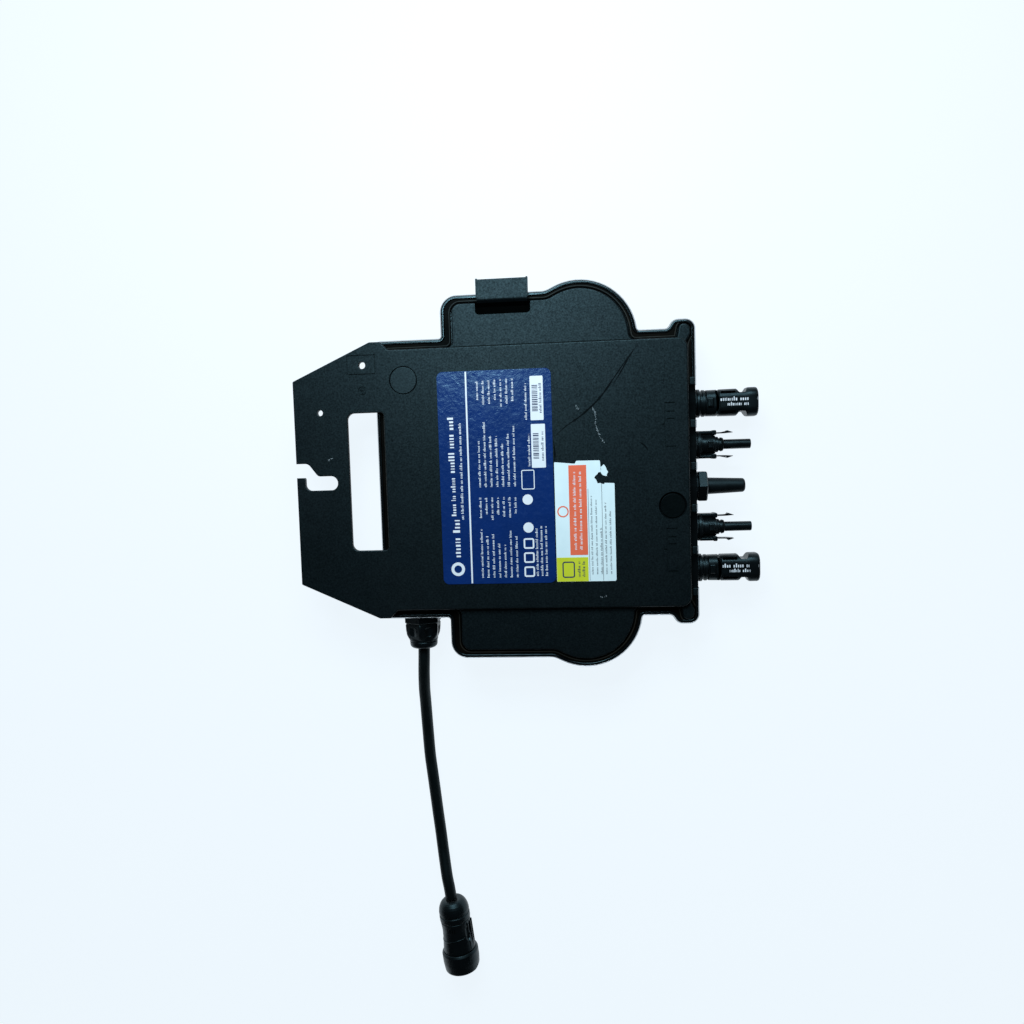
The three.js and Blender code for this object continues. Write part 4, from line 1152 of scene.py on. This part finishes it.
def plug_solid():
    body = spun([
        *PORT, (3.2, 6.6, 0.2), (4.2, 6.6, 0.2), (4.2, 5.2, 0.3), (6.4, 5.2, 0.2), (6.4, 5.7, 0.2),
        (7.0, 5.7, 0.2), (7.0, 5.2, 0.1), (11.8, 5.2, 0.4), (11.8, 4.4, 0.2), (13.4, 4.4, 0.3),
        (13.4, 3.6, 0.2), (14.6, 3.6, 0.2), (14.6, 4.1, 0.2), (16.2, 3.7, 0.4), (16.2, 2.75, 0.3),
        (31.6, 2.7, 0.4), (31.6, 2.1, 0.1), (12, 2.05, 0), (12, 0, 0),
    ], 40)
    joined = [prism(rectangle(2.4, -7.2, 11.2, 7.2, 0.8), edges(-2.6, 1.8, 0.3, 0.3)),
              prism(rectangle(7.2, -2.2, 10.4, 2.2, 0.6), edges(3, 5.9, 0.1, 0.7))]
    for side in (-1, 1):
        low, high = sorted((side * 6.1, side * 7.8))
        joined.append(prism(rectangle(2.2, low, 11.6, high, 0.6), edges(-3.4, 3.4, 0.4, 0.5)))
        low, high = sorted((side * 5.3, side * 8.1))
        joined.append(prism(rectangle(9.6, low, 12.2, high, 0.8), edges(-3.7, 3.9, 0.4, 0.6)))
    return carved(body, joined=joined)


def make_plug(i, solid):
    node = f"dc_plug_{i}"
    piece(f"plug_{i}", solid.copy(), NYLON, on_wall(node), replaces=node)
    for word in ("upper", "lower"):
        arm = f"latch_arm_{i}_{word}"
        side = 1 if word == "upper" else -1
        low, high = span(arm)
        length = high.x - low.x
        row = middle(node).y
        inner = min(abs(low.y - row), abs(high.y - row)) + 0.15
        outer = max(abs(low.y - row), abs(high.y - row)) - 0.05
        shape = [(0, inner), (length * 0.55, inner + 0.1), (length, inner + 0.45), (length * 0.62, outer),
                 (length * 0.52, inner + 0.75), (0, inner + 0.7)]
        corners = [(low.x + x, side * y, 0.12) for x, y in shape]
        if side < 0:
            corners.reverse()
        bm = prism(corners, edges(low.z, high.z, 0.25, 0.25))
        piece(f"latch_{i}_{word}", bm, NYLON, at(0, row, 0), body=f"latch_{i}_{word}", replaces=arm)


def make_lens():
    low, high = span("status_lens")
    radius = (high.y - low.y) / 2
    end = high.x - WALL_X
    dome = spun([(-3.6, 0, 0), (-3.6, 3, 0.2), (0.3, 3, 0), (0.3, radius, 0.2), (0.9, radius, 0.5),
                 (end - 0.1, radius * 0.45, 2.0), (end, 0, 0)])
    piece("lens", dome, LENS, on_wall("status_lens"), replaces="status_lens")


def make_antenna():
    place = on_wall("antenna_base")
    nut = hexagons([(1.4, 9.0, 0.5), (1.9, 9.6, 0.5), (6.0, 9.6, 0.5), (6.6, 8.8, 0.5)])
    foot = carved(moved(nut, rotation(30)), joined=[rod(4, -7, 2.4)])
    piece("antenna_foot", foot, NYLON, place, replaces="antenna_base")
    start, end = [corner.x - WALL_X for corner in span("antenna_stub")]
    stub = spun([(start, 0, 0), (start, 4.8, 0.3), (end, 3.9, 1.6), (end, 0, 0)])
    piece("antenna", stub, RUBBER, place, replaces="antenna_stub")


# ---------------------------------------------------------------- gland and AC plug
def make_gland():
    place = at(GLAND.x, BODY_Y - TRAY_HALF, GLAND.z) @ rotation(-90, "Z")
    foot = hexagons([(0.3, 10.8, 0.8), (0.9, 11.4, 0.8), (4.4, 11.4, 0.8), (5.0, 10.8, 0.8)])
    neck = spun([(-8, 0, 0), (-8, 8, 0.4), (1.2, 8, 0), (1.2, 7, 0), (12, 7, 0.4), (12, 0, 0)])
    foot = carved(moved(foot, rotation(30)), joined=[neck], cutters=[rod(4.6, -9, 13)])
    piece("gland_foot", foot, NYLON, place, replaces="gland_body")
    nut = hexagons([(5.3, 10.7, 0.8), (5.9, 11.1, 0.9), (9, 11.0, 1.2), (12, 10.6, 1.8),
                    (14.2, 9.7, 2.8), (15, 9.0, 3.6)])
    ring = spun([(10, 0, 0), (10, 8.6, 0), (15.6, 8.6, 0.3), (15.6, 8.1, 0.2), (16.4, 8.1, 0.2),
                 (16.4, 8.3, 0.3), (19.9, 8.0, 2.2), (20.4, 4.7, 0.5), (20.4, 0, 0)])
    cutters = [rod(4.6, 0, 22), rod(7.3, 0, 12.3)]
    for k in range(6):
        scoop = spun([(5.6, 0, 0), (7.0, 3.9, 2.0), (13.2, 3.9, 2.0), (14.4, 0, 0)], 32)
        cutters.append(moved(scoop, rotation(60 * k) @ at(0, 12.5, 0)))
    cap = carved(moved(nut, rotation(30)), joined=[ring], cutters=cutters)
    piece("gland_cap", cap, NYLON, place, "gland_nut", "gland_nut")


def plug_place():
    """Where the AC plug starts: +X runs along it, and its start is the cord's end."""
    nut, front = middle("cord_plug_nut"), middle("cord_plug_front")
    along = (front - nut).normalized()
    return at(*(nut - along * 6.25)) @ Matrix.Rotation(math.atan2(along.y, along.x), 4, "Z")


PLUG_STEP = 31
PLUG_TIP = 43.8


def plug_nut_shape():
    angles = [math.pi / 2 * k / 8 for k in range(8)]
    dome = [(8 - 8 * math.cos(a), 4.8 + 4.6 * math.sin(a), 0) for a in angles]
    return spun([(0, 0, 0), *dome, (7.8, 9.3, 0.2), (8.2, 8.9, 0.2), (8.8, 8.9, 0.2),
                 (9.1, 9.4, 0.3), (12.3, 9.4, 0.6), (12.3, 0, 0)])


def plug_body_shape():
    """The waisted grip, with a slanted ring, ribs on one side, ticks, a window and a dent."""
    body = spun([(12.6, 0, 0), (12.6, 9.2, 0.3), (18, 8.8, 12), (22, 9.0, 8), (PLUG_STEP, 10.0, 0.4),
                 (PLUG_STEP, 0, 0)])
    joined = [moved(rod(9.5, -0.35, 0.35, 0.3), at(22.6, 0, 0) @ rotation(9, "Z"))]
    for degrees in (60, 78, 96):
        rib = prism(rectangle(14, -0.45, PLUG_STEP - 0.5, 0.45, 0.3), edges(8, 9.9, 0.1, 0.3))
        joined.append(moved(rib, rotation(-degrees)))
    cutters = []
    for k in range(5):
        y = 1.5 * k - 4.6
        tick = prism(rectangle(15.2, y, 17.8, y + 0.6, 0.2), [(8.2, 0), (12, 0)])
        cutters.append(moved(tick, rotation(8)))
    cutters.append(prism(rectangle(25.4, -5.8, 29.6, -2.2, 0.6), [(8.6, 0), (12, 0)]))
    dent = spun([(-5.5, 0, 0), (-3.5, 2.2, 2), (3.5, 2.2, 2), (5.5, 0, 0)], 32)
    cutters.append(moved(dent, rotation(-55) @ at(20, 0, 10.2)))
    return carved(body, joined=joined, cutters=cutters)


def plug_front_shape():
    """The wide mouth, with one corner of its rim cut off and two slots."""
    start = PLUG_STEP + 0.3
    front = spun([(start, 0, 0), (start, 10.4, 0.6), (start + 1.3, 11.2, 0.8), (38, 11.2, 4),
                  (PLUG_TIP, 10.6, 1.4), (PLUG_TIP, 8.5, 0.3), (36, 8.5, 0), (36, 0, 0)], 64)
    corner = moved(block(-4, -4, -14, 4, 4, 14), at(PLUG_TIP + 1.4, 12.9, 0) @ rotation(45, "Z"))
    cutters = [corner]
    for degrees in (-30, 150):
        slot = prism(rectangle(start + 1.4, -1.6, start + 4.2, 1.6, 0.5), [(10.7, 0), (13, 0)])
        cutters.append(moved(slot, rotation(degrees)))
    return carved(front, cutters=cutters)


def make_ac_plug():
    place = plug_place()
    return [
        piece("ac_plug_nut", plug_nut_shape(), NYLON, place, "plug_nut", "cord_plug_nut"),
        piece("ac_plug_body", plug_body_shape(), NYLON, place, replaces="cord_plug_body"),
        piece("ac_plug_front", plug_front_shape(), NYLON, place, replaces="cord_plug_front"),
    ]


# ---------------------------------------------------------------- the stage
FLOOR_HALF = 4.0


def make_floor():
    mesh = bpy.data.meshes.new("floor")
    low, high = -FLOOR_HALF, FLOOR_HALF
    mesh.from_pydata([(low, low, 0), (high, low, 0), (high, high, 0), (low, high, 0)], [], [(0, 1, 2, 3)])
    mesh.materials.append(floor_paint())
    add_object("floor", mesh)


def light_stage():
    scene.view_settings.view_transform = "Standard"
    world = bpy.data.worlds.new("studio")
    world.use_nodes = True
    background = world.node_tree.nodes["Background"]
    background.inputs["Color"].default_value = (0.80, 0.90, 1.0, 1)
    background.inputs["Strength"].default_value = 0.05
    scene.world = world
    area_light("key", (-0.03, 0.42, 0.45), (0.45, 0.22), 4.5)
    area_light("glare", (-0.062, 0.18, 0.45), (0.12, 0.05), 0.55)


make_tray()
make_lands()
make_cover()
make_ports()
make_seal()
make_step_shadow_line()
make_hook()
make_rating_label()
make_notice()
make_wear()
socket_shape, plug_shape = socket_solid(), plug_solid()
for number in (1, 2):
    make_socket(number, socket_shape)
    make_plug(number, plug_shape)
make_lens()
make_antenna()
make_gland()
make_cord(make_ac_plug())
finish_nodes()
make_floor()
light_stage()
